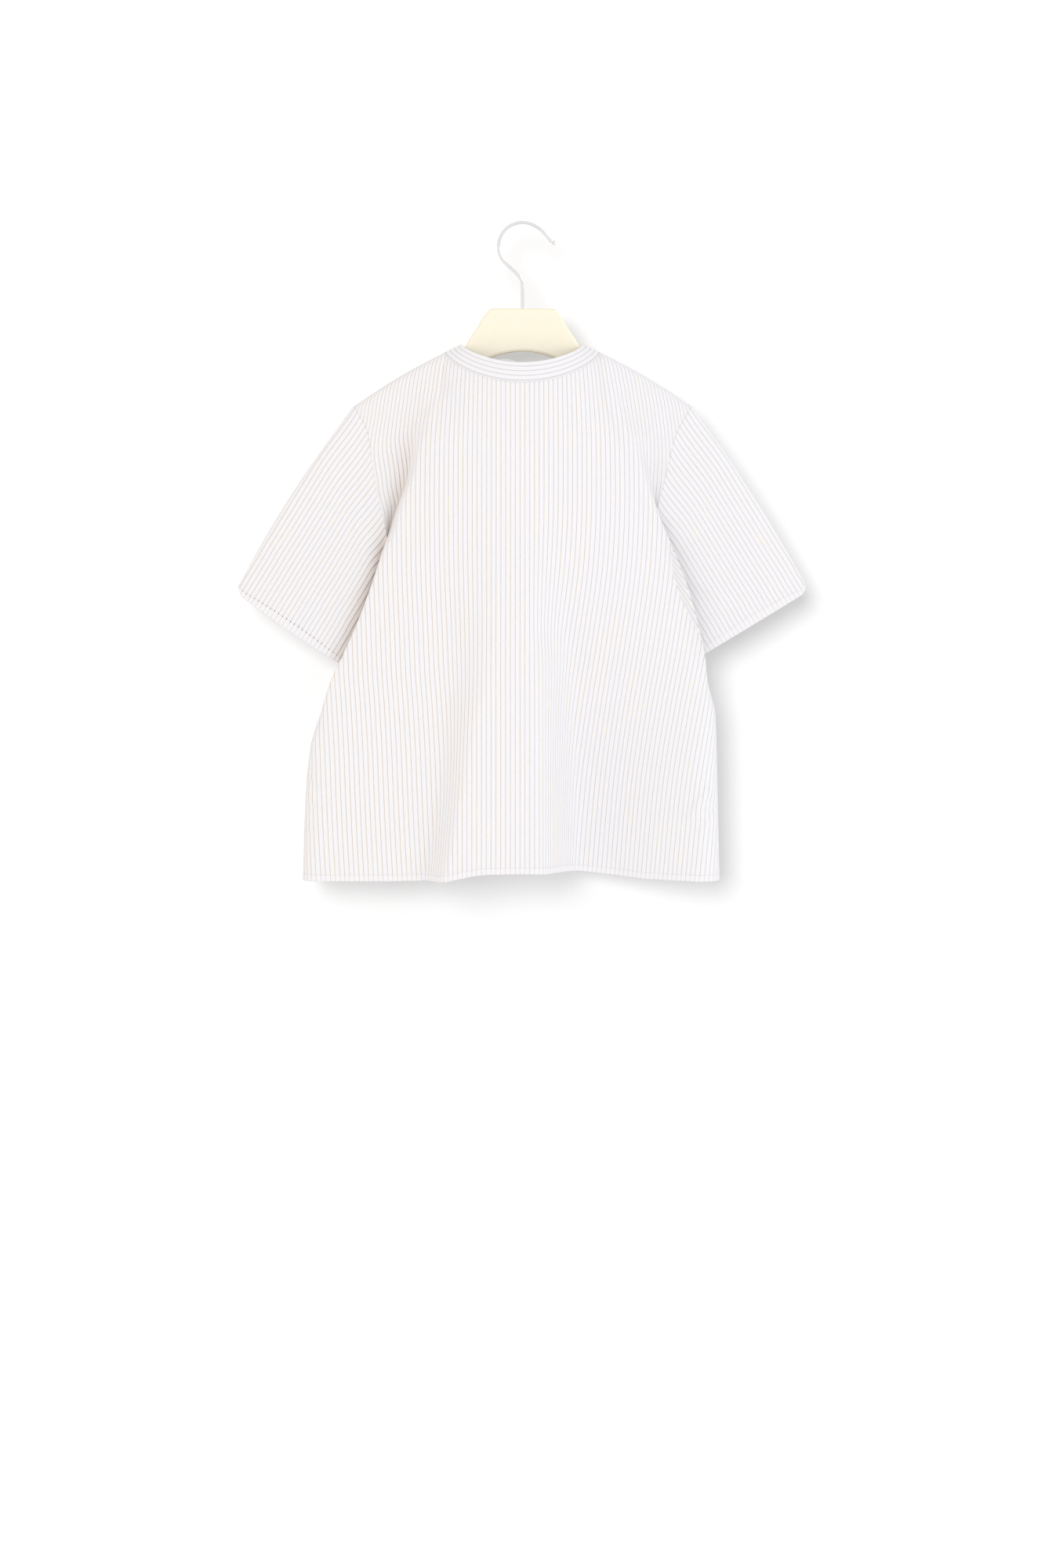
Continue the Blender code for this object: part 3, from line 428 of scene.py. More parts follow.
def uv_maps(across, along, from_edge):
    """The place across and along the stripes, and the distance from the edge with the place by it."""
    return np.stack([across, along], axis=2), np.stack([from_edge, across], axis=2)


def cloth(name, points, weave, edge, material, outwards, thickness=CLOTH, painted_fold_shade=None):
    """A grid as a thin shell: quads, two UV maps, and a Solidify wall centred on them. outwards is a
    rough direction that the faces' normals should follow. The last argument, kept on the mesh, is the
    amount of painted shade: 1 where the cloth is tucked deep into a fold, and 0 elsewhere."""
    rows, columns = points.shape[:2]
    index = np.arange(rows * columns).reshape(rows, columns)
    quads = np.stack([index[:-1, :-1], index[:-1, 1:], index[1:, 1:], index[1:, :-1]], axis=-1)
    normal = np.cross(points[:-1, 1:] - points[:-1, :-1], points[1:, :-1] - points[:-1, :-1])
    if (normal * outwards).sum() < 0:
        quads = quads[..., ::-1]
    mesh = bpy.data.meshes.new(name)
    mesh.from_pydata(points.reshape(-1, 3).tolist(), [], quads.reshape(-1, 4).tolist())
    corner = np.zeros(len(mesh.loops), np.int32)
    mesh.loops.foreach_get("vertex_index", corner)
    for layer, uv in (("weave", weave), ("edge", edge)):
        made = mesh.uv_layers.new(name=layer)
        made.data.foreach_set("uv", uv.reshape(-1, 2)[corner].ravel())
    painted_shade = mesh.attributes.new("painted_fold_shade", "FLOAT", "POINT")
    if painted_fold_shade is not None:
        painted_shade.data.foreach_set("value", painted_fold_shade.ravel())
    mesh.materials.append(material)
    mesh.shade_smooth()
    piece = bpy.data.objects.new(name, mesh)
    bpy.context.scene.collection.objects.link(piece)
    wall = piece.modifiers.new("cloth wall", "SOLIDIFY")
    wall.thickness = thickness
    wall.offset = 0
    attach(piece, "root")
    return piece


def maths(tree, operation, *values):
    """One Math node, of numbers or sockets."""
    node = tree.nodes.new("ShaderNodeMath")
    node.operation = operation
    for socket, value in zip(node.inputs, values):
        if isinstance(value, (int, float)):
            socket.default_value = value
        else:
            tree.links.new(value, socket)
    return node.outputs[0]


def product(tree, first, second):
    """One multiplication."""
    return maths(tree, "MULTIPLY", first, second)


def ramped(tree, value, low, high, to_low=0.0, to_high=1.0):
    """value from low to high becomes to_low to to_high, smoothly, and no further."""
    node = tree.nodes.new("ShaderNodeMapRange")
    node.interpolation_type = "SMOOTHSTEP"
    tree.links.new(value, node.inputs["Value"])
    for name, number in (("From Min", low), ("From Max", high), ("To Min", to_low), ("To Max", to_high)):
        node.inputs[name].default_value = number
    return node.outputs[0]


def uv_parts(tree, layer):
    """The two coordinates of a UV map, in metres."""
    node = tree.nodes.new("ShaderNodeUVMap")
    node.uv_map = layer
    split = tree.nodes.new("ShaderNodeSeparateXYZ")
    tree.links.new(node.outputs[0], split.inputs[0])
    return split.outputs[0], split.outputs[1]


def noise(tree, across, along, across_scale, along_scale, detail=2.0):
    """Noise over two coordinates, each with its own number of waves a metre."""
    vector = tree.nodes.new("ShaderNodeCombineXYZ")
    tree.links.new(product(tree, across, across_scale), vector.inputs[0])
    tree.links.new(product(tree, along, along_scale), vector.inputs[1])
    node = tree.nodes.new("ShaderNodeTexNoise")
    node.inputs["Scale"].default_value = 1.0
    node.inputs["Detail"].default_value = detail
    tree.links.new(vector.outputs[0], node.inputs["Vector"])
    return node.outputs["Fac"]


def mixed(tree, factor, first, second):
    """Colour mix: first where factor is 0, second where it is 1."""
    node = tree.nodes.new("ShaderNodeMix")
    node.data_type = "RGBA"
    for socket, value in ((node.inputs[0], factor), (node.inputs[6], first), (node.inputs[7], second)):
        if isinstance(value, tuple):
            socket.default_value = (*value, 1)
        elif isinstance(value, float):
            socket.default_value = value
        else:
            tree.links.new(value, socket)
    return node.outputs[2]


def embossed(tree, height, strength, distance):
    """Bump from a height, into the shader's normal."""
    bump = tree.nodes.new("ShaderNodeBump")
    bump.inputs["Strength"].default_value = strength
    bump.inputs["Distance"].default_value = distance
    tree.links.new(height, bump.inputs["Height"])
    tree.links.new(bump.outputs[0], tree.nodes["Principled BSDF"].inputs["Normal"])


STRIPE_SOFT_START, STRIPE_SOFT_END = 0.055, 0.125  # half width of a stripe, as parts of the pitch
STRIPE_COOL = (0.705, 0.695, 0.715)
STRIPE_ROSE = (0.760, 0.675, 0.550)
STRIPE_STRAW = (0.830, 0.770, 0.480)
COTTON_LOW = (0.940, 0.938, 0.958)
COTTON_HIGH = (0.970, 0.968, 0.990)
# painted shade of the needle holes between stitches
NEEDLE_HOLE_SHADE = (0.70, 0.67, 0.67)
SEAM_BROWN = (0.20, 0.13, 0.10)
FOLD_SHADE_GROUND = (0.86, 0.78, 0.72)  # painted shade: the cloth's colour where it lies tucked beside a side fold
# painted shade: the stripes' colour beside a side fold
FOLD_SHADE_STRIPE = (0.36, 0.22, 0.14)
FOLD_SHADE_AMOUNT = {LEFT: 1.0, RIGHT: 0.12}  # how much of the painted fold shade each side has
WARP_PITCH, WEFT_PITCH = 0.00036, 0.00040
WEAVE_RELIEF, SLUB_RELIEF = 0.00003, 0.00004
THREAD_RELIEF, DITCH_RELIEF = 0.00016, 0.00012  # a stitch above the cloth, and the ditch that it sits in


def striped_cotton(name, stitch_lines, warm_from, warm_to, stripe_shift=0.0, seam_dark=0.0):
    """Plain weave with a narrow yarn-dyed stripe at each pitch. The stripe's hue goes from rose beige at
    warm_from across the cloth to lavender grey at warm_to, with flecks of straw. That run is painted
    light, warm on the shirt's left and cool on its right, and a drift at random lies over it.
    stitch_lines are the distances from the edge at which a row of short stitches runs, and the cloth
    between each and the edge is whiter. The needle holes between the stitches get painted shade.
    seam_dark browns the stripes beside the stitches. The mesh's fold attribute is painted shade: it
    turns the cloth and its stripes brown where they are tucked into a side fold."""
    made = bpy.data.materials.new(name)
    made.use_nodes = True
    tree = made.node_tree
    shader = tree.nodes["Principled BSDF"]
    across, along = uv_parts(tree, "weave")
    from_edge, by_edge = uv_parts(tree, "edge")

    turns = maths(tree, "DIVIDE", maths(tree, "ADD", across, stripe_shift), STRIPE_PITCH)
    off = maths(tree, "ABSOLUTE", maths(tree, "SUBTRACT", maths(tree, "FRACT", turns), 0.5))
    stripe = ramped(tree, off, STRIPE_SOFT_END, STRIPE_SOFT_START)
    # Painted light: the hue runs from rose on the left to lavender on the right, for the warm and the cool
    # light on those sides, with a drift at random over it
    drift = noise(tree, across, along, 130, 9)
    place = maths(tree, "ADD", across, product(tree, maths(tree, "SUBTRACT", drift, 0.5), 1.3))
    hue = mixed(tree, ramped(tree, place, warm_from, warm_to), STRIPE_ROSE, STRIPE_COOL)
    fleck = noise(tree, maths(tree, "ADD", across, product(tree, along, 0.3)), along, 150, 26, 1.0)
    hue = mixed(tree, ramped(tree, fleck, 0.60, 0.80), hue, STRIPE_STRAW)
    faded = noise(tree, across, along, 230, 500, 1.0)
    stripe = product(tree, stripe, ramped(tree, faded, 0.3, 0.7, 0.82, 1.0))
    slubs = noise(tree, across, along, 1600, 260)
    # Painted shade beside the side folds, read from the mesh: the ground and the stripes turn brown
    painted_shade = tree.nodes.new("ShaderNodeAttribute")
    painted_shade.attribute_name = "painted_fold_shade"
    painted_shade = painted_shade.outputs["Fac"]
    ground = mixed(tree, slubs, COTTON_LOW, COTTON_HIGH)
    ground = mixed(tree, product(tree, painted_shade, 0.75), ground, FOLD_SHADE_GROUND)
    hue = mixed(tree, product(tree, painted_shade, 0.85), hue, FOLD_SHADE_STRIPE)
    colour = mixed(tree, stripe, ground, hue)

    warp = maths(tree, "SINE", product(tree, across, 2 * pi / WARP_PITCH))
    weft = maths(tree, "SINE", product(tree, along, 2 * pi / WEFT_PITCH))
    relief = product(tree, product(tree, warp, weft), WEAVE_RELIEF)
    relief = maths(tree, "ADD", relief, product(tree, slubs, SLUB_RELIEF))
    for line in stitch_lines:
        turned_up = ramped(tree, from_edge, line + 0.0003, line - 0.0003)
        colour = mixed(tree, product(tree, turned_up, 0.35), colour, COTTON_HIGH)
        beside = maths(tree, "ABSOLUTE", maths(tree, "SUBTRACT", from_edge, line))
        place = maths(tree, "FRACT", maths(tree, "DIVIDE", by_edge, STITCH))
        dash = ramped(tree, maths(tree, "ABSOLUTE", maths(tree, "SUBTRACT", place, 0.5)), 0.40, 0.30)
        on_line = ramped(tree, beside, 0.00034, 0.00016)
        # Painted shade in the needle holes, on the line between the stitches
        needle_hole_shade = product(tree, on_line, maths(tree, "SUBTRACT", 1.0, dash))
        ditch = ramped(tree, beside, 0.0011, 0.0)
        relief = maths(tree, "SUBTRACT", relief, product(tree, ditch, DITCH_RELIEF))
        thread_top = product(tree, product(tree, on_line, dash), THREAD_RELIEF)
        relief = maths(tree, "ADD", relief, thread_top)
        colour = mixed(tree, product(tree, needle_hole_shade, 0.55), colour, NEEDLE_HOLE_SHADE)
        if seam_dark:
            # Stripes close beside the stitches turn dark brown, as much as seam_dark says
            browned_beside_stitch = product(tree, stripe, ramped(tree, beside, 0.0010, 0.0004, 0.0, seam_dark))
            colour = mixed(tree, browned_beside_stitch, colour, SEAM_BROWN)
    tree.links.new(colour, shader.inputs["Base Color"])
    embossed(tree, relief, 1.0, 1.0)
    shader.inputs["Roughness"].default_value = 0.82
    shader.inputs["Specular IOR Level"].default_value = 0.25
    shader.inputs["Sheen Weight"].default_value = 0.12
    shader.inputs["Sheen Roughness"].default_value = 0.5
    return made


panel_cotton = striped_cotton("striped cotton, panels", (HEM_WIDTH,), -0.16, 0.16)

left_roll = [grid[:, ::-1] for grid in roll(BACK, LEFT)]
neck_columns = (1 - np.cos(pi * BACK_COLUMNS)) / 2
back_flat = flat(BACK, BACK_COLUMNS, neck_columns, flat_edge(BACK, LEFT), flat_edge(BACK, RIGHT))
back_points = joined(BACK, [left_roll, back_flat, roll(BACK, RIGHT)], BACK_WRINKLES)

upright = int(np.argmin(np.abs(back_points[UNDERARM, :, 0] - STRIPES_UPRIGHT_X)))
back_across = run_across(back_points, upright) + back_points[:, upright, None, 0]
back_along = run_down(back_points)
back_weave, back_edge = uv_maps(back_across, back_along, back_along[-1:] - back_along)
# Painted shade lies on the outer half of the roll, nearly as far as the seam, in step with the tuck's depth
shade_beside_fold = smooth((ROLL - 0.46) / 0.12) * smooth((0.97 - ROLL) / 0.35)
painted_shade = {
    side: FOLD_SHADE_AMOUNT[side] * eased(TUCKS[side], "depth", TIP_DOWN + ROWS)[:, None] / DEEPEST_TUCK * shade_beside_fold
    for side in (LEFT, RIGHT)
}
no_painted_shade = np.zeros((len(ROWS), len(BACK_COLUMNS) - 2))
back_painted_shade = np.concatenate([painted_shade[LEFT][:, ::-1], no_painted_shade, painted_shade[RIGHT]], axis=1)
back = cloth(
    "back_panel", back_points, back_weave, back_edge, panel_cotton, (0, -1, 0), painted_fold_shade=back_painted_shade
)
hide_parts("back")


# ==== Fronts
# Two panels of the same cotton from the shoulder seams to the hem. They lap at the middle, the wearer's
# left over the right, and hang in four soft folds that deepen towards the hem.

FrontDrape = namedtuple("FrontDrape", "down side dome")
FRONT_DRAPE = (
    FrontDrape(0.1185, 0.0080, 0.0160),
    FrontDrape(0.1870, 0.0140, 0.0110),
    FrontDrape(0.2500, 0.0180, 0.0060),
    FrontDrape(0.3200, 0.0200, 0.0030),
    FrontDrape(0.6034, 0.0220, 0),
)
Crease = namedtuple("Crease", "top_x hem_x half_width height start_down")
FRONT_CREASES = (
    Crease(-0.088, -0.112, 0.034, 0.016, 0.300),
    Crease(-0.040, -0.050, 0.030, -0.007, 0.330),
    Crease(0.046, 0.058, 0.042, 0.018, 0.290),
    Crease(0.104, 0.124, 0.030, -0.006, 0.350),
)
FRONT_WRINKLES = (
    Wrinkle(-0.1990, 0.500, -0.1720, 0.512, 0.0050, 0.0016),
    Wrinkle(-0.2000, 0.540, -0.1780, 0.552, 0.0045, 0.0014),
    Wrinkle(0.1500, 0.540, 0.1740, 0.508, 0.0060, 0.0018),
    Wrinkle(-0.0700, 0.150, -0.0980, 0.205, 0.0100, 0.0014),
    Wrinkle(0.0740, 0.150, 0.1000, 0.210, 0.0100, 0.0014),
    Wrinkle(-0.0350, 0.235, -0.0900, 0.262, 0.0090, 0.0012),
    Wrinkle(0.0350, 0.240, 0.0950, 0.272, 0.0090, 0.0012),
)
NECK_TURN = radians(80)
LAP = 0.0120
LAP_LIFT = 0.0015
LAP_RAMP = (0.040, 0.014)


def front_out(x, down, fraction):
    """The fronts' flat: a parabola between the side folds, and bells across x that grow downwards."""
    out = eased(FRONT_DRAPE, "side", down)
    out = out + eased(FRONT_DRAPE, "dome", down) * (1 - (2 * fraction - 1) ** 2)
    for crease in FRONT_CREASES:
        fall = (down - crease.start_down) / (HEM_DOWN - crease.start_down)
        middle = crease.top_x + (crease.hem_x - crease.top_x) * np.clip(fall, 0, 1)
        bell = np.clip(1 - ((x - middle) / crease.half_width) ** 2, 0, 1) ** 2
        out = out + crease.height * smooth(fall) * bell
    return out


OUT[FRONT] = front_out


def front_grid(side):
    """One front from its side seam to just past the middle. The left one lifts by the lap's height over
    a smooth ramp before the middle."""
    edge = flat_edge(FRONT, side)
    near_middle = np.full_like(edge, side * LAP)
    columns = np.linspace(0, 1, 61)
    neck = (1 - np.cos(NECK_TURN * columns)) / (1 - cos(NECK_TURN))
    lap = np.linspace(0, 1, 13)
    parts = [
        [grid[:, ::-1] for grid in roll(FRONT, side)],
        flat(FRONT, columns, neck, edge, near_middle),
        flat(FRONT, lap, lap, near_middle, -near_middle),
    ]
    if side == RIGHT:
        return joined(FRONT, parts, FRONT_WRINKLES)[:, ::-1]
    far, near = LAP_RAMP
    lifted = [(x, down, out + LAP_LIFT * smooth((x + far) / (far - near))) for x, down, out in parts]
    return joined(FRONT, lifted, FRONT_WRINKLES)


front_points = {side: front_grid(side) for side in (LEFT, RIGHT)}
for side, word in ((LEFT, "left"), (RIGHT, "right")):
    points = front_points[side]
    middle = int(np.argmin(np.abs(points[UNDERARM, :, 0])))
    across = run_across(points, middle)
    along = run_down(points)
    weave, edge = uv_maps(across, along, along[-1:] - along)
    front = cloth(f"front_{word}_panel", points, weave, edge, panel_cotton, (0, 1, 0))
    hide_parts(f"front_{word}")


# ==== Placket
# A strip of the same cotton folded to 24 mm and stitched down both edges of the left front. It carries
# the buttonholes, upright slits worked in white thread.

PLACKET_STITCH = 0.0022
PLACKET_COLUMNS = 13
PLACKET_LIFT = 0.0013  # over the front that it is sewn to
PLACKET_THICKNESS = 0.0014  # of its folded plies
placket_cotton = striped_cotton("striped cotton, placket", (PLACKET_STITCH,), -0.16, 0.16)
left_front = front_points[LEFT]
strip = left_front[:, -PLACKET_COLUMNS:]
strip_out = unit(np.cross(np.gradient(strip, axis=0), np.gradient(strip, axis=1)))
strip_out *= np.sign(strip_out[..., 1:2])
placket_points = strip + strip_out * PLACKET_LIFT
placket_across = run_across(placket_points, PLACKET_COLUMNS // 2)
placket_along = run_down(placket_points)
weave = np.stack([placket_across, placket_along], axis=2)
width = placket_across[:, -1:] - placket_across[:, :1]
edge = np.stack([width / 2 - np.abs(placket_across), placket_along], axis=2)
placket = cloth(
    "placket_strip", placket_points, weave, edge, placket_cotton, (0, 1, 0), PLACKET_THICKNESS
)
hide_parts("placket")


# ==== Sleeves
# Short set-in sleeves of the same cotton, each one piece with its seam under the arm. They hang flat
# from the shoulder's tip and end in a stitched hem. Their stripes run along the upper fold.

SleeveEnd = namedtuple("SleeveEnd", "outer_across outer_down inner_across inner_down sag")
SLEEVE_ENDS = {
    LEFT: SleeveEnd(0.2632, 0.3365, 0.1605, 0.4065, 0.0030),
    RIGHT: SleeveEnd(0.2625, 0.3360, 0.1585, 0.3990, 0.0005),
}
SLEEVE_HEM_OUT = 0.0090
SLEEVE_BOW = 0.0040
UNDERARM_BOW = 0.0070
SLEEVE_HEM_WIDTH = 0.0080
SLEEVE_WRINKLES = {
    LEFT: (
        Wrinkle(-0.2380, 0.297, -0.2170, 0.280, 0.0050, 0.0016),
        Wrinkle(-0.1560, 0.240, -0.1900, 0.300, 0.0090, -0.0012),
        Wrinkle(-0.1500, 0.330, -0.1850, 0.352, 0.0070, 0.0014),
    ),
    RIGHT: (
        Wrinkle(0.2330, 0.300, 0.2520, 0.316, 0.0055, 0.0016),
        Wrinkle(0.2400, 0.318, 0.2560, 0.322, 0.0040, -0.0012),
        Wrinkle(0.1560, 0.240, 0.1900, 0.300, 0.0090, -0.0012),
        Wrinkle(0.1450, 0.320, 0.1850, 0.345, 0.0070, 0.0014),
    ),
}
SLEEVE_FULLNESS = 0.016  # how much squarer than an oval its section is
SLEEVE_CORNER = 0.0050  # how far the hem draws back at its outer corner
SLEEVE_START = -0.006  # its first row lies just inside the armhole, as a part of its length
FOLD_SHADE_REACH = 0.0100  # how far from the back's side fold the painted shade reaches on the sleeve, and between which heights
FOLD_SHADE_FROM, FOLD_SHADE_TO, FOLD_SHADE_FADE = 0.262, 0.425, 0.03
# Painted light: the left sleeve's stripes lean to rose and the right sleeve's to lavender, for the warm and
# the cool light on those sides
sleeve_cotton = {
    LEFT: striped_cotton("striped cotton, left sleeve", (SLEEVE_HEM_WIDTH,), -0.10, 0.30, seam_dark=0.8),
    RIGHT: striped_cotton("striped cotton, right sleeve", (SLEEVE_HEM_WIDTH,), -0.40, 0.06),
}


def sleeve_grid(side):
    """From the armhole's points in straight lines to a flattened oval, with a bow over the upper edge
    and one under the arm, made fuller by the root of the sine less the sine. Columns run from the
    front's underarm over the tip to the back's. Returns the points, their place across the stripes,
    how far each column is from the folds (0 to 1), and the painted shade beside the back's side fold."""
    back_seam = back_points[: UNDERARM + 1, 0 if side == LEFT else -1]
    front_seam = front_points[side][: UNDERARM + 1, 0 if side == LEFT else -1]
    armhole = np.concatenate([front_seam[:0:-1], back_seam])
    length = np.concatenate([[0], np.cumsum(np.linalg.norm(np.diff(back_seam, axis=0), axis=1))])
    half_turn = pi * length / length[-1]
    turn = np.concatenate([-half_turn[:0:-1], half_turn])[:, None]
    end = SLEEVE_ENDS[side]
    outer = np.array([side * end.outer_across, 0, -end.outer_down])
    inner = np.array([side * end.inner_across, 0, -end.inner_down])
    hem_out = np.where(turn > 0, -SLEEVE_HEM_OUT, SLEEVE_HEM_OUT)
    away = np.concatenate([0 * turn, hem_out, 0 * turn - end.sag], axis=1)
    hem = (outer + inner) / 2 + (outer - inner) / 2 * np.cos(turn) + away * np.abs(np.sin(turn))
    edge_way = unit(outer - back_seam[0])
    up = np.array([edge_way[2], 0, -edge_way[0]]) * -side
    t = np.linspace(0, 1, 81)
    along = np.concatenate([[SLEEVE_START], t - 0.75 * np.sin(2 * pi * t) / (2 * pi)])[:, None, None]
    bow = SLEEVE_BOW * np.sin(pi * along) * np.clip(np.cos(turn), 0, 1) * up
    clear = unit(np.array([side, 0, 0.4])) * UNDERARM_BOW * np.sqrt(np.clip(along, 0, 1)) * (1 - along)
    points = armhole + (hem - armhole) * along + bow + clear * np.clip(-np.cos(turn), 0, 1)
    points = points - edge_way * SLEEVE_CORNER * np.clip(np.cos(turn) / 0.12 - 7.33, 0, 1) ** 1.5 * along**6
    height = wrinkled(points[..., 0], -points[..., 2], 0 * points[..., 0], SLEEVE_WRINKLES[side])
    round_about = np.abs(np.sin(turn[:, 0]))
    full = SLEEVE_FULLNESS * (np.sqrt(round_about) - round_about) * smooth(along[..., 0] / 0.3)
    points[..., 1] += np.sign(-turn[:, 0]) * (height * round_about + full)
    across_way = np.array([edge_way[2], 0, -edge_way[0]]) * side
    middle = len(front_seam) - 1
    steps = np.hypot(np.diff(points, axis=1) @ across_way, np.diff(points[..., 1], axis=1))
    across = np.concatenate([np.zeros((len(points), 1)), np.cumsum(steps, axis=1)], axis=1)
    start = (points - outer) @ across_way
    across = across - across[:, middle : middle + 1] + start[:, middle : middle + 1]
    down = -points[..., 2]
    from_fold = np.clip(side * points[..., 0] - eased(FOLDS[BACK, side], "across", down), 0, None)
    # Painted shade on the sleeve's back half, close beside the back's side fold and between two heights
    beside = np.exp(-((from_fold / FOLD_SHADE_REACH) ** 2)) * (turn[:, 0] > 0)
    beside = beside * smooth((down - FOLD_SHADE_FROM) / FOLD_SHADE_FADE)
    beside = beside * smooth((FOLD_SHADE_TO - down) / FOLD_SHADE_FADE)
    return points, across, round_about, FOLD_SHADE_AMOUNT[side] * beside


for side, word in ((LEFT, "left"), (RIGHT, "right")):
    # The last value returned is the painted shade beside the back's side fold
    points, across, round_about, beside = sleeve_grid(side)
    along = run_down(points)
    # At the folds the stitch line runs out to the edge, so the distance from it counts for more there
    weave, edge = uv_maps(across, along, (along[-1:] - along) / (0.15 + 0.85 * round_about))
    centre = points.mean(axis=1, keepdims=True)
    outwards = (points - centre)[:-1, :-1]
    sleeve = cloth(
        f"sleeve_{word}_tube", points, weave, edge, sleeve_cotton[side], outwards, painted_fold_shade=beside
    )
    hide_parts(f"sleeve_{word}")


# ==== Collar band
# A narrow stand band of two plies, cut across the stripes, so that they run round the neck. Its folded
# edge is on top, its ends lap at the front, and a row of stitches holds its lower edge.

BAND_HEIGHT = 0.0176
BAND_PLY = 0.0007  # half its thickness
BAND_SKIN = 0.0002  # thickness of the shell that goes round it
BAND_ROWS = 16  # up each of its sides
BAND_LEAN = {BACK: radians(10), FRONT: radians(20)}
BAND_SIDE_LEAN = radians(64)
BAND_STITCH = 0.0014
BAND_OVER_SEAM = 0.0010  # how far it reaches down over the neck seam
INNER_PLY_BUMP = (-0.0160, 0.0085, 0.0024)  # where the inner ply shows on top: x, half width, rise
band_cotton = striped_cotton("striped cotton, collar band", (BAND_STITCH,), -0.5, 0.0, 0.00040)


def band_grid(neck_seam):
    """Up the band's outer side, round its top edge and down its inner side. The band leans towards the
    neck by an angle that grows with the square of the distance from the middle. Behind, its inner side
    rises by a bell over INNER_PLY_BUMP."""
    side_part = np.clip(np.abs(neck_seam[:, 0]) / NECK_HALF, 0, 1)
    behind = neck_seam[:, 1] < 0
    lean = np.where(behind, BAND_LEAN[BACK], BAND_LEAN[FRONT])
    lean = (lean + (BAND_SIDE_LEAN - lean) * side_part**2)[:, None]
    depth = np.where(behind, NECK_OUT[BACK], NECK_OUT[FRONT])
    away = unit(np.stack([neck_seam[:, 0] / NECK_HALF, 0.35 * neck_seam[:, 1] / depth, 0 * depth], axis=1))
    up = np.array([0, 0, 1])
    rise = np.cos(lean) * up - np.sin(lean) * away
    out = np.cos(lean) * away + np.sin(lean) * up
    x, half, extra = INNER_PLY_BUMP
    bump = extra * np.exp(-(((neck_seam[:, 0] - x) / half) ** 2)) * behind
    outside = np.linspace(-BAND_OVER_SEAM, BAND_HEIGHT - BAND_PLY, BAND_ROWS)
    turns = np.linspace(0, pi, 9)[1:-1]
    heights = np.concatenate([outside, BAND_HEIGHT - BAND_PLY + BAND_PLY * np.sin(turns), outside[::-1]])
    offsets = np.concatenate([0 * outside + 1, np.cos(turns), 0 * outside - 1]) * BAND_PLY
    inner = (offsets < 0) * smooth(heights / BAND_HEIGHT)
    heights = heights[:, None, None] + inner[:, None, None] * bump[:, None]
    return neck_seam + rise * heights + out * offsets[:, None, None]


left_neck = front_points[LEFT][0, : len(ROLL) - 2 : -1]
right_neck = front_points[RIGHT][0, -len(ROLL) :: -1]
back_neck = back_points[0, len(ROLL) : -len(ROLL)]
neck_seam = np.concatenate([left_neck, back_neck, right_neck])
band_points = band_grid(neck_seam)
band_along = run_across(band_points, len(neck_seam) // 2)
band_run = run_down(band_points)
band_uv = np.stack([band_run, band_along], axis=2)
band_out = np.zeros_like(band_points[:-1, :-1])
band_out[:BAND_ROWS] = (neck_seam * np.array([1, 1, 0]))[:-1]
band = cloth("collar_band_ply", band_points, band_uv, band_uv, band_cotton, band_out, BAND_SKIN)
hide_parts("collar_band")


# ==== Hanger and hook
# A flat hanger moulded in cream plastic with rounded edges, and a polished chrome wire hook in its top.

CREAM_LOW, CREAM_HIGH = (0.985, 0.926, 0.742), (1.0, 0.960, 0.792)
CREAM_EDGE_SHADE = (1.0, 0.87, 0.65)  # painted warm shade on the rounded edges, which turn away from the front and the back
CHROME = (0.80, 0.80, 0.81)


def noisy(name, scale, detail=2.0, distortion=0.0):
    """A new material, its node tree, its shader, and a noise over the object's own coordinates."""
    made = bpy.data.materials.new(name)
    made.use_nodes = True
    tree = made.node_tree
    node = tree.nodes.new("ShaderNodeTexNoise")
    for setting, value in (("Scale", scale), ("Detail", detail), ("Distortion", distortion)):
        node.inputs[setting].default_value = value
    tree.links.new(tree.nodes.new("ShaderNodeTexCoord").outputs["Object"], node.inputs["Vector"])
    return made, tree, tree.nodes["Principled BSDF"], node.outputs["Fac"]


hanger_finish, tree, shader, grain = noisy("cream plastic", 90, detail=4)
facing = tree.nodes.new("ShaderNodeSeparateXYZ")
tree.links.new(tree.nodes.new("ShaderNodeNewGeometry").outputs["Normal"], facing.inputs[0])
# Painted shade: the surface takes the edge colour as its normal turns away from the front and the back
edge_shade = ramped(tree, maths(tree, "ABSOLUTE", facing.outputs[1]), 0.97, 0.55)
cream = mixed(tree, grain, CREAM_LOW, CREAM_HIGH)
tree.links.new(mixed(tree, edge_shade, cream, CREAM_EDGE_SHADE), shader.inputs["Base Color"])
tree.links.new(ramped(tree, grain, 0.3, 0.7, 0.38, 0.50), shader.inputs["Roughness"])
embossed(tree, grain, 0.25, 0.0002)

chrome, tree, shader, marks = noisy("polished chrome wire", 300)
shader.inputs["Base Color"].default_value = (*CHROME, 1)
shader.inputs["Metallic"].default_value = 1.0
tree.links.new(ramped(tree, marks, 0.35, 0.7, 0.10, 0.22), shader.inputs["Roughness"])

for node, finish in (("hanger_body", hanger_finish), ("hanger_hook", chrome)):
    mesh = frame["nodes"][node].data
    mesh.materials.clear()
    mesh.materials.append(finish)


# ==== Buttons
# Small pearly shirt buttons with a raised rim and four holes, sewn on with white thread. The holes are
# dark discs of painted shade laid on each button. Those on the placket lie over upright buttonholes
# worked in the same thread.

PEARL_LOW, PEARL_HIGH = (0.86, 0.83, 0.78), (0.97, 0.96, 0.95)
THREAD_LOW, THREAD_HIGH = (0.80, 0.79, 0.80), (0.96, 0.95, 0.96)
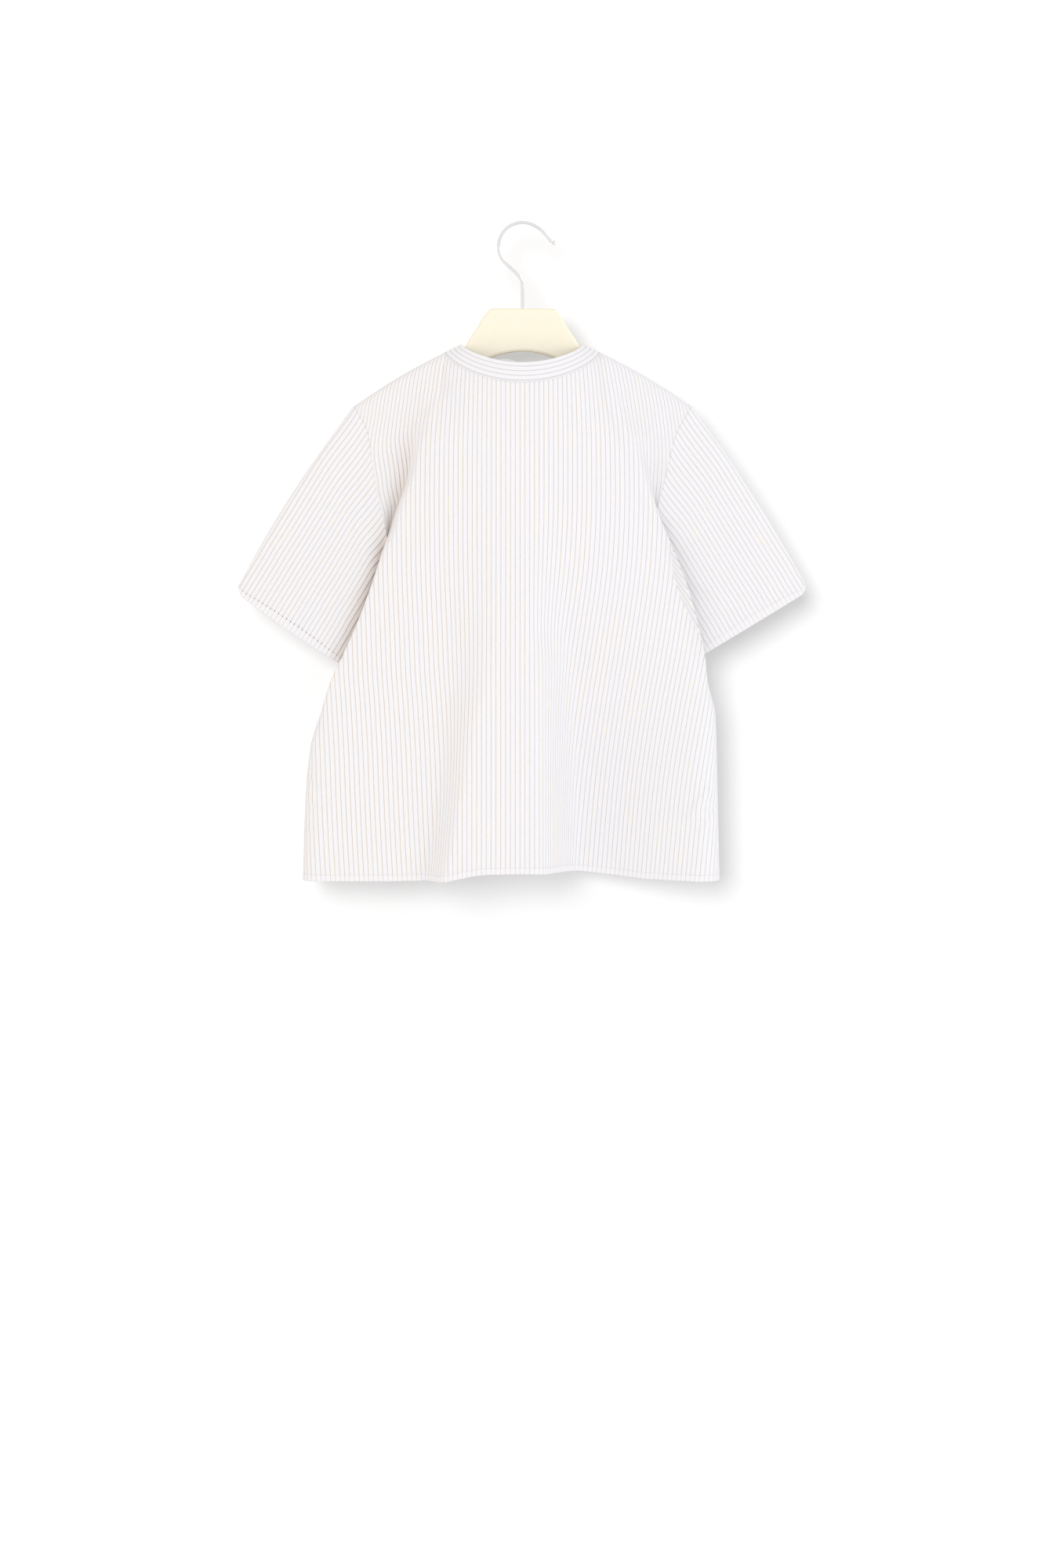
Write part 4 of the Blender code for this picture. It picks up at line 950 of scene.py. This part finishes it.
# painted shade of the holes, on dark discs laid over each button
HOLE_SHADE_LOW, HOLE_SHADE_HIGH = (0.20, 0.17, 0.14), (0.34, 0.30, 0.26)
BUTTON_DISH = 0.0006
HOLE_SPREAD = 0.0009  # of the four holes from the middle, each way
HOLE_RADIUS = 0.00042
HOLE_CLEAR = 0.00003  # how far each disc of painted hole shade lies over the button, so that it shows
THREAD_RADIUS = 0.00026
THREAD_RISE = 0.00042
BUTTONHOLE = (0.0009, 0.0068)  # half width and half length of the worked slit
BEAD_RADIUS = 0.00045  # of its thread
BEADS = 60

pearl, tree, shader, cloud = noisy("pearly button", 420, distortion=1.5)
tree.links.new(mixed(tree, cloud, PEARL_LOW, PEARL_HIGH), shader.inputs["Base Color"])
shader.inputs["Roughness"].default_value = 0.22
shader.inputs["Coat Weight"].default_value = 0.4
for number in range(1, 7):
    mesh = frame["nodes"][f"button_{number}"].data
    mesh.materials.clear()
    mesh.materials.append(pearl)

thread, tree, shader, twist = noisy("white sewing thread", 2600)
tree.links.new(mixed(tree, twist, THREAD_LOW, THREAD_HIGH), shader.inputs["Base Color"])
embossed(tree, twist, 0.6, 0.0001)
shader.inputs["Roughness"].default_value = 0.6

# Painted shade of the button holes: the dark colour of the discs
hole_shade, tree, shader, depth = noisy("painted shade in button holes", 1500)
tree.links.new(mixed(tree, depth, HOLE_SHADE_LOW, HOLE_SHADE_HIGH), shader.inputs["Base Color"])
shader.inputs["Roughness"].default_value = 0.8


def button_frame(name):
    """A button's middle, its own level, upright and outward ways, and the heights of its foot and rim:
    outward is the thinnest way through its points."""
    mesh = frame["nodes"][name].data
    corners = np.zeros(len(mesh.vertices) * 3)
    mesh.vertices.foreach_get("co", corners)
    corners = corners.reshape(-1, 3)
    low, high = corners.min(axis=0), corners.max(axis=0)
    middle = (low + high) / 2
    outward = np.linalg.svd(corners - corners.mean(axis=0), full_matrices=False)[2][2]
    outward = outward * np.sign(outward[1])
    level = unit(np.cross(outward, (0, 0, 1)))
    heights = (corners - middle) @ outward
    return middle, level, np.cross(level, outward), outward, heights.min(), heights.max()


def stitch(start, end, outward, rise, radius):
    """A thread from start to end: a half-sine arch as a round tube, pointed at both ends."""
    t = np.linspace(0, 1, 13)[:, None, None]
    turn = np.linspace(0, 2 * pi, 9)[None, :, None]
    line = start + (end - start) * t + outward * rise * np.sin(pi * t)
    ahead = unit(end - start + outward * rise * pi * np.cos(pi * t))
    beside = unit(np.cross(end - start, outward))
    ring = np.cos(turn) * beside + np.sin(turn) * np.cross(beside, ahead)
    return line + ring * radius * np.sin(pi * t) ** 0.3


def worked_slit(middle, level, upright, outward):
    """A buttonhole's thread: a tube round a narrow oval, beaded by its close stitches."""
    way = np.linspace(0, 2 * pi, 121)[:, None, None]
    turn = np.linspace(0, 2 * pi, 7)[None, :, None]
    half_width, half_length = BUTTONHOLE
    radial = np.cos(way) * level + np.sin(way) * upright
    line = middle + half_width * np.cos(way) * level + half_length * np.sin(way) * upright
    radius = BEAD_RADIUS * (1 + 0.25 * np.sin(BEADS * way))
    return line + radius * (np.cos(turn) * radial + np.sin(turn) * outward)


def pit(middle, level, upright):
    """A disc: circles round middle, in the plane of level and upright, from radius 0 outwards."""
    reach = np.linspace(0, HOLE_RADIUS, 3)[:, None, None]
    turn = np.linspace(0, 2 * pi, 13)[None, :, None]
    return middle + reach * (np.cos(turn) * level + np.sin(turn) * upright)


def sewn(name, grids, material):
    """Grids of one size as one piece: quads over each, points that meet merged, faces outwards."""
    rows, columns = grids[0].shape[:2]
    index = np.arange(len(grids) * rows * columns).reshape(len(grids), rows, columns)
    corners = [index[:, :-1, :-1], index[:, :-1, 1:], index[:, 1:, 1:], index[:, 1:, :-1]]
    mesh = bpy.data.meshes.new(name)
    quads = np.stack(corners, axis=-1).reshape(-1, 4)
    mesh.from_pydata(np.reshape(grids, (-1, 3)).tolist(), [], quads.tolist())
    made = bmesh.new()
    made.from_mesh(mesh)
    bmesh.ops.remove_doubles(made, verts=made.verts, dist=1e-6)
    bmesh.ops.recalc_face_normals(made, faces=made.faces)
    made.to_mesh(mesh)
    made.free()
    mesh.materials.append(material)
    mesh.shade_smooth()
    piece = bpy.data.objects.new(name, mesh)
    bpy.context.scene.collection.objects.link(piece)
    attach(piece, "root")
    return piece


threads, pits, slits = [], [], []
for number in range(1, 7):
    middle, level, upright, outward, foot, rim = button_frame(f"button_{number}")
    dish = middle + outward * (rim - BUTTON_DISH)
    for up in (-HOLE_SPREAD, HOLE_SPREAD):
        ends = [dish + upright * up + level * x for x in (-HOLE_SPREAD, HOLE_SPREAD)]
        threads.append(stitch(*ends, outward, THREAD_RISE, THREAD_RADIUS))
        pits.extend(pit(end + outward * HOLE_CLEAR, level, upright) for end in ends)
    if number > 1:
        slits.append(worked_slit(middle + outward * foot, level, upright, outward))
sewn("button_threads", threads, thread)
sewn("button_hole_shade", pits, hole_shade)
sewn("buttonhole_stitching", slits, thread)


# ==== Floor, backdrop, light and camera
# A white room, warm on the left and cool on the right, with two soft lamps for the shirt. A backdrop
# close behind it glows a little and has a lamp of its own, so that the shirt's shadow falls on it to the
# lower right. It is seen only from the side of the shirt's back, and gives the shirt no light or shade.

ROOM_BELOW, ROOM_ABOVE = 1.07, 0.965  # brightness of the room around the shirt
ROOM_BEHIND = 0.78  # how much of it there is on the side of the backdrop
ROOM_LEFT, ROOM_RIGHT = (1.02, 0.98, 0.955), (0.97, 0.973, 0.985)  # its colour on either side
FLOOR_DOWN = 1.9
BACKDROP_Y = 0.048
SHADE = 0.40  # reflectance of the backdrop, and so the shadow's depth
GLOW = 0.275  # light of its own, which keeps the backdrop white
SHADOW_FALL = (0.26, 1, -0.25)  # the way of the light that throws the shadow
SHADOW_SOFTNESS = radians(26)


def plain(name, colour, roughness):
    """A matt surface of one colour."""
    made = bpy.data.materials.new(name)
    made.use_nodes = True
    shader = made.node_tree.nodes["Principled BSDF"]
    shader.inputs["Base Color"].default_value = (*colour, 1)
    shader.inputs["Roughness"].default_value = roughness
    shader.inputs["Specular IOR Level"].default_value = 0.0
    return made


bpy.ops.mesh.primitive_plane_add(size=3.4, location=(0, 0, -FLOOR_DOWN))
floor = bpy.context.object
floor.name = "floor"
floor.data.materials.append(plain("pale floor", (0.94, 0.94, 0.94), 0.8))

bpy.ops.mesh.primitive_plane_add(size=2.4, location=(0, BACKDROP_Y, -0.5), rotation=(pi / 2, 0, 0))
backdrop = bpy.context.object
backdrop.name = "backdrop"
paper = plain("white backdrop", (SHADE, SHADE, SHADE), 0.9)
tree = paper.node_tree
tree.nodes["Principled BSDF"].inputs["Emission Color"].default_value = (1, 1, 1, 1)
tree.nodes["Principled BSDF"].inputs["Emission Strength"].default_value = GLOW
through = tree.nodes.new("ShaderNodeBsdfTransparent")
either = tree.nodes.new("ShaderNodeMixShader")
tree.links.new(tree.nodes.new("ShaderNodeNewGeometry").outputs["Backfacing"], either.inputs[0])
tree.links.new(tree.nodes["Principled BSDF"].outputs[0], either.inputs[1])
tree.links.new(through.outputs[0], either.inputs[2])
tree.links.new(either.outputs[0], tree.nodes["Material Output"].inputs["Surface"])
backdrop.data.materials.append(paper)
for way in ("diffuse", "glossy", "transmission", "shadow", "volume_scatter"):
    setattr(backdrop, f"visible_{way}", False)

world = bpy.data.worlds.new("white room")
world.use_nodes = True
tree = world.node_tree
seen = tree.nodes.new("ShaderNodeLightPath").outputs["Is Camera Ray"]
direction = tree.nodes.new("ShaderNodeSeparateXYZ")
tree.links.new(tree.nodes.new("ShaderNodeTexCoord").outputs["Generated"], direction.inputs[0])
sides = mixed(tree, ramped(tree, direction.outputs[0], -0.9, 0.9), ROOM_LEFT, ROOM_RIGHT)
tree.links.new(mixed(tree, seen, sides, (1.0, 1.0, 1.0)), tree.nodes["Background"].inputs["Color"])
strength = ramped(tree, direction.outputs[2], -0.9, 0.9, ROOM_BELOW, ROOM_ABOVE)
behind = ramped(tree, direction.outputs[1], 0.0, 0.7, 1.0, ROOM_BEHIND)
strength = product(tree, strength, behind)
strength = maths(tree, "ADD", strength, product(tree, seen, maths(tree, "SUBTRACT", 1.0, strength)))
tree.links.new(strength, tree.nodes["Background"].inputs["Strength"])
bpy.context.scene.world = world

behind_shirt = bpy.data.collections.new("lit by the backdrop lamp")
behind_shirt.objects.link(backdrop)
shirt_only = bpy.data.collections.new("lit by the shirt's lamps")
for thing in bpy.context.scene.objects:
    if thing.type in {"MESH", "CURVE"} and thing is not backdrop:
        shirt_only.objects.link(thing)


def lamp(kind, name, place, target, power, colour, receivers, **sizes):
    """A lamp that faces its target and lights only the receivers."""
    data = bpy.data.lights.new(name, kind)
    data.energy, data.color = power, colour
    for key, value in sizes.items():
        setattr(data, key, value)
    made = bpy.data.objects.new(name, data)
    bpy.context.scene.collection.objects.link(made)
    made.location = place
    made.rotation_euler = (Vector(target) - Vector(place)).to_track_quat("-Z", "Y").to_euler()
    made.light_linking.receiver_collection = receivers
    return made


MIDDLE = (0, 0, -0.35)
lamp("SUN", "shadow lamp", (0, 0, 0), SHADOW_FALL, 3.2, (1, 1, 1), behind_shirt, angle=SHADOW_SOFTNESS)
lamp("AREA", "key", (1.7, -2.2, -0.9), MIDDLE, 6, (0.96, 0.97, 1.0), shirt_only, size=1.2)
lamp("AREA", "front key", (1.5, 2.1, 0.8), MIDDLE, 10, (1.0, 0.98, 0.95), shirt_only, size=1.0)

CAMERA_DISTANCE = 2.6
CAMERA_DOWN = 0.255
CAMERA_SHIFT = -0.18  # of the picture, as a part of its height
VIEW_HEIGHT = 1.44
SENSOR = 36
camera_data = bpy.data.cameras.new("camera")
camera_data.lens = SENSOR * CAMERA_DISTANCE / VIEW_HEIGHT
camera_data.shift_y = CAMERA_SHIFT
camera = bpy.data.objects.new("camera", camera_data)
bpy.context.scene.collection.objects.link(camera)
camera.location = (0, -CAMERA_DISTANCE, -CAMERA_DOWN)
camera.rotation_euler = (pi / 2, 0, 0)
bpy.context.scene.camera = camera
bpy.context.scene.view_settings.view_transform = "Standard"
